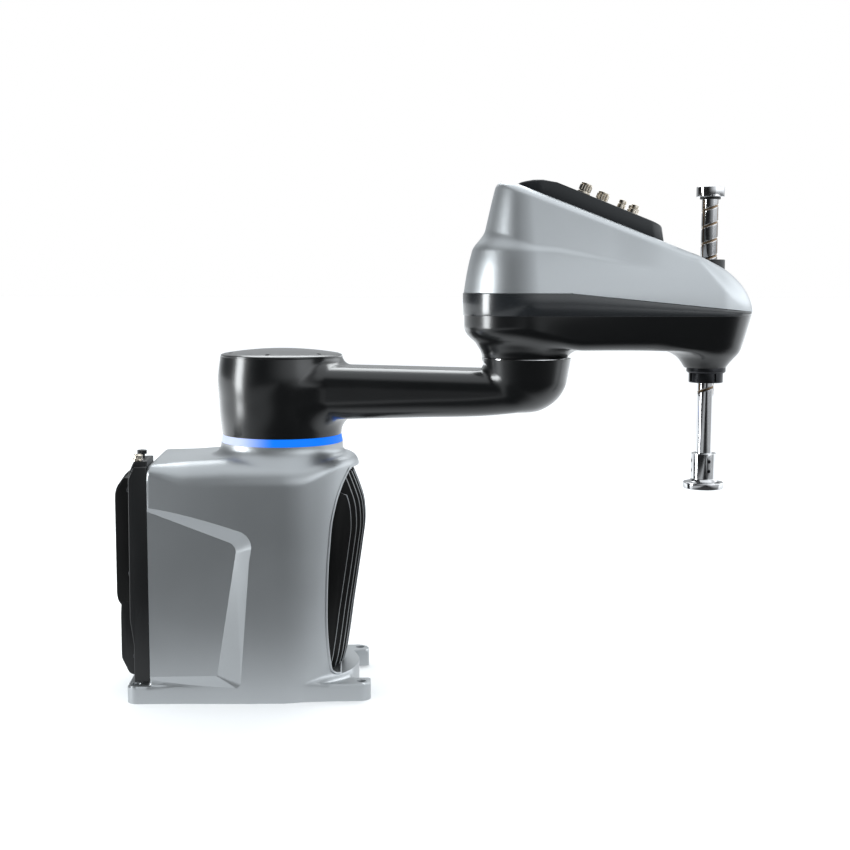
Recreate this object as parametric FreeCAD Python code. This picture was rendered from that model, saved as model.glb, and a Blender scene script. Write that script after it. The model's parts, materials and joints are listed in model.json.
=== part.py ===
import FreeCAD, Part
import math
import os
from FreeCAD import Vector

# A four-axis selective-compliance arm: a cast base with the controller inside it, an inner link,
# an outer link with two covers, and a hollow ball-screw spline shaft (the quill) that turns and slides.
# Millimetres, +Z up. The origin is on the shoulder axis, on the underside of the base, and +X is
# the forward direction of the base. The arm is drawn in the pose in which it was photographed.

# Reach, pose and clearances
inner_link_length = 325.0
outer_link_length = 225.0
inner_link_angle = -22.26
running_gap = 0.4
fit_gap = 0.3
shaft_gap = 0.05
edge_break = 0.8
overcut = 1.0
beyond = 400.0

# Base casting
base_front_radius = 100.0
base_draw_in = 10.0
base_length = 164.0
base_top = 307.0
base_roll = 20.0
base_floor = 14.0
base_wall = 20.0
deck_thickness = 24.0
neck_radius = 79.0
neck_rise = 15.0
neck_fillet = 9.0
collar_inset = 0.5
collar_step = 5.0
collar_slope = 8.0
collar_round = 12.0

# Foot plate
foot_height = 22.0
foot_front = 114.0
foot_tail = 29.0
foot_half = 94.0
foot_corner = 14.0
foot_flare = 3.0
bolt_edge_front = 12.0
bolt_edge_rear = 11.0
bolt_edge_side = 14.0
bolt_hole_radius = 5.5
notch_depth = 24.0
lug_width = 30.0
notch_corner = 5.0

# Front opening: an arch that is widest at its waist, between a sill and a lintel
opening_depth = 50.0
opening_sill = 8.0
opening_lintel = 17.0
arch_top_half = 43.0
arch_shoulder_half = 76.0
arch_shoulder_drop = 47.0
arch_waist_half = 82.0
arch_waist_rise = 85.0
arch_foot_half = 79.0
arch_top_round = 22.0
arch_shoulder_round = 40.0
arch_waist_round = 120.0
arch_foot_round = 12.0

# Front heat sink, whose fins bow forwards out of the opening
sink_fit = 0.8
sink_plate = 6.0
front_fin_pitch = 13.0
front_fin_count = 11
front_fin_thickness = 2.6
fin_crest_reach = 10.5
fin_crest_drop = 58.0
fin_foot_back = 18.0
fin_top_back = 3.0
fin_end_gap = 3.0

# Side pockets: an outer edge on the wall, an inner edge on the floor, both open to the rear
pocket_depth = 12.0
pocket_overrun = 4.0
pocket_rear_drop = 46.0
pocket_front_drop = 91.0
pocket_front_x = -37.0
pocket_foot_x = -48.0
pocket_lift = 2.6
pocket_margin_rear = 18.0
pocket_margin_front = 16.0
pocket_floor_front_x = -54.5
pocket_floor_foot_x = -83.0
pocket_margin_foot = 7.9

# Rear panel, its heat sink, lower cover and fittings
frame_depth = 24.0
frame_lower_depth = 19.6
frame_lift = 4.0
frame_drop = 1.0
frame_inset = 4.0
frame_wall = 6.0
frame_step_low = 42.0
frame_step_high = 79.0
frame_chamfer_height = 18.0
frame_chamfer_depth = 7.0
rear_sink_lift = 7.0
rear_sink_drop = 22.0
rear_sink_side = 20.0
rear_sink_plate = 5.0
rear_sink_depth = 18.0
rear_sink_crown = 8.0
rear_sink_round = 15.0
rear_fin_count = 12
rear_fin_thickness = 3.0
lower_cover_depth = 15.0
lower_cover_gap = 2.0
lower_cover_round = 14.0
frame_screw_radius = 3.2
frame_screw_head = 2.4
frame_screw_edge = 9.0
frame_screw_rise = 32.0
frame_screw_pitch = 106.0
encoder_radius = 5.0
encoder_height = 8.0
encoder_y = -72.0
brake_knob_radius = 4.5
brake_knob_height = 9.0
brake_knob_y = -38.0
knob_flutes = 12

# Units inside the base
gear_seat_depth = 30.0
gear_bore_radius = 64.0
gear_lower_radius = 50.0
gear_lower_reach = 8.0
gear_hollow_radius = 18.0
board_half = 56.0
board_height = 176.0
board_rise = 30.0
board_thickness = 2.0
board_spacer = 5.0
board_spacer_radius = 3.0
board_spacer_edge = 8.0
supply_half = 58.0
supply_depth = 52.0
supply_rise = 36.0
supply_height = 164.0

# Light ring, drum and cap of the shoulder
ring_height = 9.6
ring_taper = 1.8
ring_bore_radius = 70.0
drum_inset = 2.0
drum_bulge = 5.5
drum_height = 100.0
drum_waist_low = 40.0
drum_waist_high = 72.0
drum_top_flare = 2.0
drum_floor = 13.0
drum_wall = 17.0
output_flange_radius = 58.0
output_flange_bore = 20.0
cap_inset = 0.6
cap_rim = 2.0
cap_rise = 8.5
cap_screw_edge = 5.0
cap_screw_radius = 2.2
cap_screw_height = 2.4
cap_screw_count = 6
cap_screw_phase = -20.5

# Inner link arm and elbow bowl
arm_drop = 10.0
arm_depth_shoulder = 70.0
arm_depth_elbow = 56.0
arm_half_shoulder = 51.0
arm_half_elbow = 47.0
arm_edge = 26.0
arm_start = 40.0
arm_end = 52.0
arm_fillet = 8.0
arm_tip_half = 36.0
arm_tip_depth = 45.0
arm_tip_edge = 22.0
arm_skin = 9.0
channel_half_shoulder = 30.0
channel_half_elbow = 26.0
bowl_rise = 14.8
bowl_depth = 65.8
elbow_radius = 56.4
elbow_wall = 11.4
elbow_bore_depth = 48.8
bowl_flat_radius = 22.0
bowl_knee_rise = 14.0
bowl_lip = 12.8

# Outer link casting
elbow_gap = 1.1
neck_step = 4.9
outer_neck_height = 9.3
outer_floor_thickness = 8.8
housing_height = 41.8
outer_wall = 7.0
neck_flare_step = 6.5
post_radius = 5.0
post_edge = 8.0
nose_drop = 21.9
nose_wall = 2.3
nose_hip_radius = 34.0
nose_hip_rise = 5.7
nose_root_rise = 15.7

# Outer covers
band_radius_elbow = 75.6
band_radius_quill = 55.4
band_height = 27.0
band_flat_end = 45.0
band_nose_reach = 65.0
band_nose_height = 4.5
cover_height = 161.0
cover_wall = 3.0
cover_reveal = 0.4
cover_nose_reach = 56.5
cover_nose_round = 62.0
slope_start_x = -18.9
slope_start_drop = 4.0
slope_rate = 0.386

# Connector panel on the slope
panel_height = 20.0
panel_end = 160.0
panel_half_rear = 26.0
panel_half_front = 35.0
panel_corner_rear = 10.0
panel_corner_front = 14.0
panel_crest_round = 12.0
panel_nose_round = 16.0
signal_radius = 7.2
signal_height = 14.0
fitting_radius = 4.2
fitting_height = 10.5
collar_lip = 1.2
collar_thickness = 3.0
socket_wall = 2.0
socket_depth = 4.0

# Quill, its stop and its flange
quill_radius = 10.0
quill_bore_radius = 5.5
quill_length = 366.0
quill_reach = 130.0
spline_groove_count = 3
spline_groove_radius = 1.6
spline_groove_phase = 20.0
stop_radius = 16.8
stop_height = 12.3
stop_overhang = 1.3
bumper_radius = 12.5
bumper_thickness = 2.5
flange_overhang = 1.7
flange_radius = 24.7
flange_thickness = 8.7
flange_hub_radius = 15.3
flange_hub_height = 44.2
flange_hole_circle = 19.0
flange_hole_radius = 2.75
flange_step = 2.0
set_screw_radius = 2.5
set_screw_length = 6.6
set_screw_rise = 22.7
set_screw_pitch = 12.0
set_screw_angles = (180.0, -80.0)

# Drives of the quill
spline_nut_radius = 15.5
spline_nut_overhang = 3.0
ball_nut_radius = 16.0
ball_nut_rise = 14.0
nut_overhang = 1.0
large_pulley_radius = 26.0
large_pulley_teeth = 32
small_pulley_radius = 12.0
small_pulley_teeth = 15
belt_thickness = 1.6
belt_width = 9.0
belt_fit = 0.2
pulley_gap = 2.0
pulley_spacing = 5.0
motor_shaft_radius = 4.0
pulley_hub_radius = 7.0
z_motor_distance = 147.0
theta_motor_distance = 93.0
bracket_clearance = 3.0
bracket_thickness = 6.0
bracket_gap = 17.0
bracket_half_rear = 42.0
bracket_half_front = 38.0
plate_corner = 6.0
nut_plate_lift = 5.0
nut_plate_thickness = 12.0
nut_plate_rear = 40.0
nut_plate_front = 33.0
nut_plate_half_rear = 42.0
nut_plate_half_front = 36.0
nut_plate_round = 14.0
nut_plate_lip = 2.0
bearing_radius = 25.0
nut_way_radius = 17.6
spline_bearing_radius = 23.2
spline_bearing_height = 15.0
seal_seat = 1.7

# Seal parts under the nose and guide on the cover
guide_radius = 21.5
guide_rise = 5.1
guide_gap = 0.8
guide_lip = 4.0
nose_flange_radius = 23.8
nose_flange_thickness = 6.3
nose_screw_circle = 20.2
nose_screw_radius = 1.6
nose_screw_count = 6
nose_nut_radius = 20.7
nose_nut_height = 12.0
nose_nut_slot = 4.0
nose_nut_slot_depth = 1.3

# Half width, flange half width, flange, body and encoder heights, and corner radius of each motor
shoulder_motor_size = (40.0, 45.0, 10.0, 88.0, 24.0, 8.0)
elbow_motor_size = (27.0, 31.0, 8.0, 66.0, 22.0, 6.0)
arm_motor_size = (19.0, 20.0, 6.0, 40.0, 16.0, 4.0)
elbow_pilot_radius = 25.0
arm_pilot_radius = 13.2

# Heights and places that follow from the sizes above, from the bed upwards
base_rear = -base_length
base_rear_half = base_front_radius - base_draw_in
foot_rear = base_rear - foot_tail
bolt_front = foot_front - bolt_edge_front
bolt_rear = foot_rear + bolt_edge_rear
bolt_half = foot_half - bolt_edge_side
notch_front = foot_front - notch_depth
notch_half = foot_half - lug_width
opening_back = base_front_radius - opening_depth
opening_bottom = foot_height + opening_sill
opening_top = base_top - opening_lintel
cavity_roof = base_top - deck_thickness
collar_radius = base_front_radius - collar_inset
collar_shoulder = base_top - collar_step
neck_top = base_top + neck_rise
sink_back = opening_back + overcut
frame_rear = base_rear - frame_depth
frame_lower_rear = base_rear - frame_lower_depth
frame_bottom = foot_height + frame_lift
frame_top = base_top - frame_drop
frame_half = base_rear_half - frame_inset
frame_waist_low = frame_bottom + frame_step_low
frame_waist_high = frame_bottom + frame_step_high
rear_sink_bottom = frame_waist_high + rear_sink_lift
rear_sink_top = frame_top - rear_sink_drop
rear_sink_half = frame_half - rear_sink_side
gear_ledge = neck_top - gear_seat_depth
gear_top = neck_top - fit_gap
gear_bottom = cavity_roof - gear_lower_reach
ring_top = neck_top + ring_height
ring_top_radius = neck_radius - ring_taper
drum_bottom = ring_top + running_gap
drum_top = drum_bottom + drum_height
drum_bottom_radius = neck_radius - drum_inset
drum_waist_radius = drum_bottom_radius + drum_bulge
drum_top_radius = drum_bottom_radius + drum_top_flare
drum_bore_radius = drum_top_radius - drum_wall
cap_radius = drum_top_radius - cap_inset
cap_edge = drum_top + cap_rim
cap_crest = cap_edge + cap_rise
cap_screw_circle = drum_bore_radius + cap_screw_edge
arm_top = drum_top - arm_drop
elbow_top = arm_top + bowl_rise
elbow_bottom = elbow_top - bowl_depth
elbow_bore_radius = elbow_radius - elbow_wall
elbow_bore_floor = elbow_top - elbow_bore_depth
neck_bottom = elbow_top + elbow_gap
outer_neck_radius = elbow_radius - neck_step
outer_floor = neck_bottom + outer_neck_height
outer_floor_inside = outer_floor + outer_floor_thickness
outer_split = outer_floor + housing_height
band_top = outer_split + band_height
band_nose_top = outer_split + band_nose_height
cover_top = outer_split + cover_height
slope_start_z = cover_top - slope_start_drop
nose_bottom = outer_floor - nose_drop
nose_radius = spline_bearing_radius + nose_wall
nose_flange_bottom = nose_bottom - nose_flange_thickness
nose_nut_bottom = nose_flange_bottom - nose_nut_height
theta_belt_bottom = outer_floor_inside + pulley_gap
z_belt_bottom = theta_belt_bottom + belt_width + pulley_spacing
spline_nut_bottom = nose_nut_bottom + spline_nut_overhang
spline_nut_top = theta_belt_bottom + belt_width + nut_overhang
ball_nut_bottom = z_belt_bottom - nut_overhang
bracket_bottom = z_belt_bottom + belt_width + bracket_clearance
bracket_top = bracket_bottom + bracket_thickness
nut_plate_bottom = z_belt_bottom + belt_width + nut_plate_lift
nut_plate_top = nut_plate_bottom + nut_plate_thickness
ball_nut_top = nut_plate_top + ball_nut_rise
quill_bottom = nose_nut_bottom - quill_reach
quill_top = quill_bottom + quill_length
stop_top = quill_top + stop_overhang
stop_bottom = stop_top - stop_height
flange_bottom = quill_bottom - flange_overhang
flange_top = flange_bottom + flange_thickness
flange_hub_top = flange_bottom + flange_hub_height
z_motor_x = outer_link_length - z_motor_distance
theta_motor_x = outer_link_length - theta_motor_distance
bracket_rear = elbow_motor_size[1] + bracket_clearance
bracket_front = outer_link_length - nut_plate_rear - bracket_gap

elbow = Vector(
    inner_link_length * math.cos(math.radians(inner_link_angle)),
    inner_link_length * math.sin(math.radians(inner_link_angle)),
    0,
)
quill = elbow + Vector(outer_link_length, 0, 0)

# Each section of the outer link's form: its height above the foot of that stretch, and how far it
# draws in from the band at the elbow end and at the quill end. The housing is measured from its
# floor and the covers from the split between housing and band.
housing_sections = (
    (0.0, 23.1, 12.2),
    (4.8, 20.1, 10.8),
    (11.8, 17.2, 9.0),
    (18.8, 12.4, 7.2),
    (26.8, 6.6, 5.4),
    (34.8, 2.8, 3.4),
)
skirt_sections = ((0.0, 0.0, 0.0), (15.0, 0.4, 0.6), (29.0, 1.6, 1.6), (49.0, 4.6, 4.2), (64.0, 8.0, 7.0), (78.0, 12.0, 9.8))
shoulder_sections = ((78.0, 12.0, 9.8), (93.0, 23.4, 17.0), (107.0, 32.0, 21.8))
tower_sections = ((107.0, 32.0, 21.8), (121.0, 35.6, 24.6), (136.0, 40.3, 28.0), (167.0, 51.0, 36.0))
housing_overhang = (1.3, 1.4)


def rounded(corners):
    """A closed outline through (u, v) or (u, v, radius) corners, with an arc at each radius."""
    ends = []
    for index, corner in enumerate(corners):
        here = Vector(corner[0], corner[1], 0)
        if len(corner) < 3:
            ends.append((here, None, here))
            continue
        radius = corner[2]
        before = Vector(*corners[index - 1][:2], 0) - here
        after = Vector(*corners[(index + 1) % len(corners)][:2], 0) - here
        before.normalize()
        after.normalize()
        half_angle = before.getAngle(after) / 2
        run = radius / math.tan(half_angle)
        inward = before + after
        inward.normalize()
        crest = here + inward * (radius / math.sin(half_angle) - radius)
        ends.append((here + before * run, crest, here + after * run))
    edges = []
    for index, (start, crest, end) in enumerate(ends):
        if crest is not None:
            edges.append(Part.Arc(start, crest, end).toShape())
        following = ends[(index + 1) % len(ends)][0]
        if (following - end).Length > 1e-6:
            edges.append(Part.LineSegment(end, following).toShape())
    return Part.Wire(edges)


def rectangle(low_u, low_v, high_u, high_v, corner):
    """The corners of a rectangle, each rounded by the same radius or less if it is narrow."""
    radius = min(corner, 0.49 * (high_u - low_u), 0.49 * (high_v - low_v))
    return [(low_u, low_v, radius), (high_u, low_v, radius), (high_u, high_v, radius), (low_u, high_v, radius)]


def flat_slab(corners, low, high):
    """An outline in plan (x, y), raised from one height to another."""
    face = Part.Face(rounded(corners))
    face.translate(Vector(0, 0, low))
    return face.extrude(Vector(0, 0, high - low))


def side_slab(corners, near, far):
    """An outline in side view (x, z), carried from y = near to y = far."""
    face = Part.Face(rounded(corners))
    face.rotate(Vector(0, 0, 0), Vector(1, 0, 0), 90)
    face.translate(Vector(0, near, 0))
    return face.extrude(Vector(0, far - near, 0))


def front_slab(corners, back, front):
    """An outline in front view (y, z), carried from x = back to x = front."""
    face = Part.Face(rounded(corners))
    face.rotate(Vector(0, 0, 0), Vector(1, 1, 1), 120)
    face.translate(Vector(back, 0, 0))
    return face.extrude(Vector(front - back, 0, 0))


def turned(corners):
    """An outline in (radius, z), turned a full circle about the Z axis."""
    face = Part.Face(rounded(corners))
    face.rotate(Vector(0, 0, 0), Vector(1, 0, 0), 90)
    return face.revolve(Vector(0, 0, 0), Vector(0, 0, 1), 360)


def rod(radius, low, high, x=0.0, y=0.0):
    return Part.makeCylinder(radius, high - low, Vector(x, y, low))


def tube(inner, outer, low, high):
    return rod(outer, low, high).cut(rod(inner, low - overcut, high + overcut))


def block(low, high):
    size = Vector(*high) - Vector(*low)
    return Part.makeBox(size.x, size.y, size.z, Vector(*low))


def joined(shapes):
    return shapes[0].fuse(shapes[1:]).removeSplitter()


def around(shape, count, phase=0.0):
    """Copies of a shape spread evenly about the Z axis."""
    copies = []
    for index in range(count):
        copy = shape.copy()
        copy.rotate(Vector(0, 0, 0), Vector(0, 0, 1), phase + 360 * index / count)
        copies.append(copy)
    return copies


def moved(shape, x, y, z):
    copy = shape.copy()
    copy.translate(Vector(x, y, z))
    return copy


def upside_down(shape):
    copy = shape.copy()
    copy.rotate(Vector(0, 0, 0), Vector(1, 0, 0), 180)
    return copy


def at_elbow(shape):
    return moved(shape, elbow.x, elbow.y, 0)


def at_quill(shape):
    return moved(shape, quill.x, quill.y, 0)


def along_inner_link(shape):
    copy = shape.copy()
    copy.rotate(Vector(0, 0, 0), Vector(0, 0, 1), inner_link_angle)
    return copy


def save(name, shape):
    shape.exportStep("parts/" + name + ".step")


def base_prism(inset, low, high):
    """The base in plan, a round front and sides that draw in to the rear, raised to a prism."""
    front = base_front_radius - inset
    rear_half = base_rear_half - inset
    length = base_length
    side_radius = (length ** 2 + base_draw_in ** 2) / (2 * base_draw_in)
    middle = front - side_radius + math.sqrt(side_radius ** 2 - (length / 2) ** 2)
    wire = Part.Wire([
        Part.Arc(Vector(0, -front, 0), Vector(front, 0, 0), Vector(0, front, 0)).toShape(),
        Part.Arc(Vector(0, front, 0), Vector(-length / 2, middle, 0), Vector(-length, rear_half, 0)).toShape(),
        Part.LineSegment(Vector(-length, rear_half, 0), Vector(-length, -rear_half, 0)).toShape(),
        Part.Arc(Vector(-length, -rear_half, 0), Vector(-length / 2, -middle, 0), Vector(0, -front, 0)).toShape(),
    ])
    wire.translate(Vector(0, 0, low))
    return Part.Face(wire).extrude(Vector(0, 0, high - low))


def front_opening(inset):
    """The arch-shaped opening in the front wall, in front view."""
    right = [
        (arch_top_half - inset, opening_top - inset, arch_top_round),
        (arch_shoulder_half - inset, opening_top - arch_shoulder_drop, arch_shoulder_round),
        (arch_waist_half - inset, opening_bottom + arch_waist_rise, arch_waist_round),
        (arch_foot_half - inset, opening_bottom + inset, arch_foot_round),
    ]
    left = [(-y, z, radius) for y, z, radius in reversed(right)]
    return right + left


def pocket(side):
    """A shallow pocket in the side wall, open to the rear, with a sloping margin."""
    reach = base_rear - foot_tail
    foot = foot_height + pocket_lift
    rear = base_top - pocket_rear_drop
    front = base_top - pocket_front_drop
    outer = [
        (reach, rear),
        (pocket_front_x, front, 24),
        (pocket_foot_x, foot, 8),
        (reach, foot),
    ]
    inner = [
        (reach, rear - pocket_margin_rear),
        (pocket_floor_front_x, front - pocket_margin_front, 16),
        (pocket_floor_foot_x, foot + pocket_margin_foot, 4),
        (reach, foot + pocket_margin_foot),
    ]
    spread = pocket_overrun / pocket_depth
    flared = []
    for near, deep in zip(outer, inner):
        u = near[0] + (near[0] - deep[0]) * spread
        v = near[1] + (near[1] - deep[1]) * spread
        flared.append((u, v) + near[2:])
    sections = []
    for corners, half in (
        (flared, base_front_radius + pocket_overrun),
        (inner, base_front_radius - pocket_depth),
    ):
        wire = rounded(corners)
        wire.rotate(Vector(0, 0, 0), Vector(1, 0, 0), 90)
        wire.translate(Vector(0, side * half, 0))
        sections.append(wire)
    return Part.makeLoft(sections, True, True)


def base_casting():
    body = base_prism(0, 0, base_top)
    top_edges = []
    for edge in body.Edges:
        box = edge.BoundBox
        if box.ZMin > base_top - overcut and box.XMax > base_rear + overcut:
            top_edges.append(edge)
    body = body.makeFillet(base_roll, top_edges)
    collar = turned([
        (0, cavity_roof),
        (collar_radius, cavity_roof),
        (collar_radius, collar_shoulder, collar_round),
        (neck_radius, collar_shoulder + collar_slope, neck_fillet),
        (neck_radius, neck_top),
        (0, neck_top),
    ])
    foot = flat_slab(rectangle(foot_rear, -foot_half, foot_front, foot_half, foot_corner), 0, foot_height)
    shape = joined([body, collar, foot, base_prism(-foot_flare, 0, foot_height)])
    opening = front_slab(front_opening(0), opening_back, beyond)
    notch = flat_slab([
        (notch_front, -notch_half, notch_corner),
        (beyond, -notch_half),
        (beyond, notch_half),
        (notch_front, notch_half, notch_corner),
    ], -overcut, opening_bottom + overcut)
    cavity = base_prism(base_wall, base_floor, cavity_roof)
    way_out = block(
        (base_rear - overcut, base_wall - base_rear_half, base_floor),
        (base_rear + 2 * base_wall, base_rear_half - base_wall, cavity_roof),
    )
    gear_bore = rod(gear_bore_radius, gear_ledge, neck_top + overcut)
    gear_way = rod(gear_lower_radius + fit_gap, cavity_roof - overcut, gear_ledge + overcut)
    holes = []
    for x in (bolt_front, bolt_rear):
        for y in (-bolt_half, bolt_half):
            holes.append(rod(bolt_hole_radius, -overcut, foot_height + overcut, x, y))
    cuts = [opening, notch, cavity, way_out, gear_bore, gear_way, pocket(1), pocket(-1)] + holes
    return shape.cut(cuts).removeSplitter()


def fin(profile, y, thickness):
    return side_slab(profile, y - thickness / 2, y + thickness / 2)


def front_heat_sink():
    """A plate behind the opening, with fins that step back from the middle one to the sides."""
    root = sink_back + sink_plate / 2
    foot = opening_bottom + fin_end_gap
    top = opening_top - fin_end_gap
    plate = front_slab(front_opening(sink_fit), sink_back, sink_back + sink_plate)
    limits = front_slab(front_opening(2 * sink_fit), sink_back, beyond)
    fins = []
    for index in range(front_fin_count):
        y = (index - (front_fin_count - 1) / 2) * front_fin_pitch
        crown = y ** 2 / (2 * (base_front_radius + fin_crest_reach))
        corners = [
            (root, foot),
            (base_front_radius - fin_foot_back - crown, foot, 6),
            (base_front_radius + fin_crest_reach - crown, opening_top - fin_crest_drop, 30),
            (base_front_radius - fin_top_back - crown, top, 5),
            (root, top),
        ]
        fins.append(fin(corners, y, front_fin_thickness).common(limits))
    return joined([plate] + fins)


def rear_frame():
    profile = [
        (base_rear, frame_bottom),
        (frame_lower_rear, frame_bottom),
        (frame_lower_rear, frame_waist_low),
        (frame_rear, frame_waist_high),
        (frame_rear, frame_top - frame_chamfer_height, 4),
        (frame_rear + frame_chamfer_depth, frame_top, 3),
        (base_rear, frame_top),
    ]
    shell = side_slab(profile, -frame_half, frame_half)
    hollow = block(
        (frame_lower_rear + frame_wall, frame_wall - frame_half, frame_bottom + frame_wall),
        (base_rear + overcut, frame_half - frame_wall, frame_top - 2 * frame_wall),
    )
    return shell.cut(hollow)


def rear_heat_sink():
    """A plate on the frame, with fins that are deepest in the middle."""
    plate = block(
        (frame_rear - rear_sink_plate, -rear_sink_half, rear_sink_bottom),
        (frame_rear, rear_sink_half, rear_sink_top),
    )
    pitch = (2 * rear_sink_half - rear_fin_thickness) / (rear_fin_count - 1)
    fins = []
    for index in range(rear_fin_count):
        y = (index - (rear_fin_count - 1) / 2) * pitch
        crown = rear_sink_crown * (1 - (y / rear_sink_half) ** 2)
        back = frame_rear - rear_sink_depth - crown
        corners = [
            (frame_rear, rear_sink_bottom),
            (frame_rear, rear_sink_top),
            (back, rear_sink_top, rear_sink_round),
            (back, rear_sink_bottom, rear_sink_round),
        ]
        fins.append(fin(corners, y, rear_fin_thickness))
    return joined([plate] + fins)


def rear_lower_cover():
    back = frame_lower_rear - lower_cover_depth
    foot = frame_bottom + frame_lift
    top = rear_sink_bottom - lower_cover_gap
    corners = [
        (frame_lower_rear, foot),
        (frame_lower_rear, frame_waist_low),
        (frame_rear, frame_waist_high),
        (frame_rear, top),
        (back - frame_lift, top, 3),
        (back - frame_lift / 2, foot, lower_cover_round),
    ]
    return side_slab(corners, -rear_sink_half, rear_sink_half)


def rear_fitting(radius, height, y):
    """A round fitting on a washer, on the top edge of the rear frame."""
    stem = rod(radius, 0, height)
    washer = rod(radius + 1.5, 0, 2)
    return moved(joined([stem, washer]), (frame_rear + base_rear) / 2, y, frame_top)


def brake_release_knob():
    knob = rear_fitting(brake_knob_radius, brake_knob_height, brake_knob_y)
    flutes = []
    for flute in around(rod(edge_break, 3, brake_knob_height + overcut, brake_knob_radius), knob_flutes):
        flutes.append(moved(flute, (frame_rear + base_rear) / 2, brake_knob_y, frame_top))
    return knob.cut(flutes)


def rear_frame_screws():
    """Three screws up each edge of the frame; the lowest pair is on the lower, shallower part."""
    screws = []
    for row in range(3):
        back = frame_lower_rear if row == 0 else frame_rear
        z = frame_bottom + frame_screw_rise + row * frame_screw_pitch
        for y in (-1, 1):
            seat = Vector(back, y * (frame_half - frame_screw_edge), z)
            screws.append(Part.makeCylinder(frame_screw_radius, frame_screw_head, seat, Vector(-1, 0, 0)))
    return Part.makeCompound(screws)


def light_ring():
    return turned([
        (ring_bore_radius, neck_top),
        (neck_radius, neck_top),
        (ring_top_radius, ring_top),
        (ring_bore_radius, ring_top),
    ])


def servo_motor(size):
    """A motor hanging below z = 0: a square flange, a longer body and an encoder housing."""
    half, flange_half, flange, body, encoder, corner = size
    encoder_half = half - corner
    stages = []
    for side, low, high in (
        (flange_half, -flange, 0),
        (half, -flange - body, -flange),
        (encoder_half, -flange - body - encoder, -flange - body),
    ):
        stages.append(flat_slab(rectangle(-side, -side, side, side, corner), low, high))
    return joined(stages)


def shoulder_motor():
    return moved(servo_motor(shoulder_motor_size), 0, 0, gear_bottom)


def shoulder_gear():
    """The strain-wave reducer, which rests on the ledge inside the neck."""
    return turned([
        (gear_hollow_radius, gear_bottom),
        (gear_lower_radius, gear_bottom),
        (gear_lower_radius, gear_ledge),
        (gear_bore_radius - fit_gap, gear_ledge),
        (gear_bore_radius - fit_gap, gear_top),
        (gear_hollow_radius, gear_top),
    ])


def drive_board():
    """A servo drive board on four spacers behind the front heat sink."""
    face = sink_back - board_spacer
    low = opening_bottom + board_rise
    high = low + board_height
    board = block((face - board_thickness, -board_half, low), (face, board_half, high))
    spacers = []
    for y in (board_spacer_edge - board_half, board_half - board_spacer_edge):
        for z in (low + board_spacer_edge, high - board_spacer_edge):
            spacers.append(Part.makeCylinder(board_spacer_radius, board_spacer, Vector(face, y, z), Vector(1, 0, 0)))
    return joined([board] + spacers)


def power_supply():
    back = frame_lower_rear + frame_wall
    low = frame_bottom + supply_rise
    return block((back, -supply_half, low), (back + supply_depth, supply_half, low + supply_height))


def drum():
    waist = drum_waist_radius
    return turned([
        (0, drum_bottom),
        (drum_bottom_radius, drum_bottom, edge_break),
        (waist - fit_gap, drum_bottom + drum_waist_low, 90),
        (waist + fit_gap, drum_bottom + drum_waist_high, 60),
        (drum_top_radius, drum_top, edge_break),
        (0, drum_top),
    ])


def link_section(s, half, depth, top, edge):
    """A cross-section of the arm, a rounded rectangle at a distance s from the shoulder axis."""
    wire = rounded(rectangle(-half, top - depth, half, top, edge))
    wire.rotate(Vector(0, 0, 0), Vector(1, 1, 1), 120)
    wire.translate(Vector(s, 0, 0))
    return wire


def elbow_bowl():
    """The round end of the inner link, under the elbow."""
    bowl = turned([
        (0, elbow_bottom),
        (bowl_flat_radius, elbow_bottom, 20),
        (elbow_bore_radius, elbow_bottom + bowl_knee_rise, 40),
        (elbow_radius, elbow_top - bowl_lip, 60),
        (elbow_radius, elbow_top, edge_break),
        (0, elbow_top),
    ])
    return moved(bowl, inner_link_length, 0, 0)


def meets_drum(edge):
    """True for an edge along which the arm runs into the drum."""
    box = edge.BoundBox
    beside = 0.75 * drum_bottom_radius < box.XMin and box.XMax < drum_waist_radius
    return beside and box.ZMax < arm_top + edge_break and edge.Length < arm_half_shoulder


def inner_link_casting():
    tip_top = arm_top - pulley_gap
    arm = Part.makeLoft([
        link_section(arm_start, arm_half_shoulder, arm_depth_shoulder, arm_top, arm_edge),
        link_section(inner_link_length - arm_end, arm_half_elbow, arm_depth_elbow, arm_top, arm_edge),
        link_section(inner_link_length, arm_tip_half, arm_tip_depth, tip_top, arm_tip_edge),
    ], True, True)
    root = joined([drum(), arm])
    root = root.makeFillet(arm_fillet, [edge for edge in root.Edges if meets_drum(edge)])
    outside = joined([root, elbow_bowl()])
    drum_bore = rod(drum_bore_radius, drum_bottom + drum_floor, drum_top + overcut)
    channel = flat_slab([
        (0, -channel_half_shoulder),
        (inner_link_length, -channel_half_elbow),
        (inner_link_length, channel_half_elbow),
        (0, channel_half_shoulder),
    ], elbow_bore_floor, arm_top - arm_skin)
    elbow_bore = rod(elbow_bore_radius, elbow_bore_floor, elbow_top + overcut, inner_link_length)
    return along_inner_link(outside.cut([drum_bore, channel, elbow_bore]).removeSplitter())


def shoulder_cap():
    """A shallow domed disc that closes the drum."""
    corners = [
        Vector(0, 0, drum_top),
        Vector(cap_radius, 0, drum_top),
        Vector(cap_radius, 0, cap_edge),
        Vector(0, 0, cap_crest),
    ]
    middle = Vector(cap_radius / 2, 0, cap_edge + cap_rise * 0.75)
    profile = Part.Wire([
        Part.LineSegment(corners[0], corners[1]).toShape(),
        Part.LineSegment(corners[1], corners[2]).toShape(),
        Part.Arc(corners[2], middle, corners[3]).toShape(),
        Part.LineSegment(corners[3], corners[0]).toShape(),
    ])
    dome = Part.Face(profile).revolve(Vector(0, 0, 0), Vector(0, 0, 1), 360)
    well = rod(cap_screw_radius + fit_gap, drum_top - overcut, cap_crest, cap_screw_circle)
    return along_inner_link(dome.cut(around(well, cap_screw_count, cap_screw_phase)))


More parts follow.
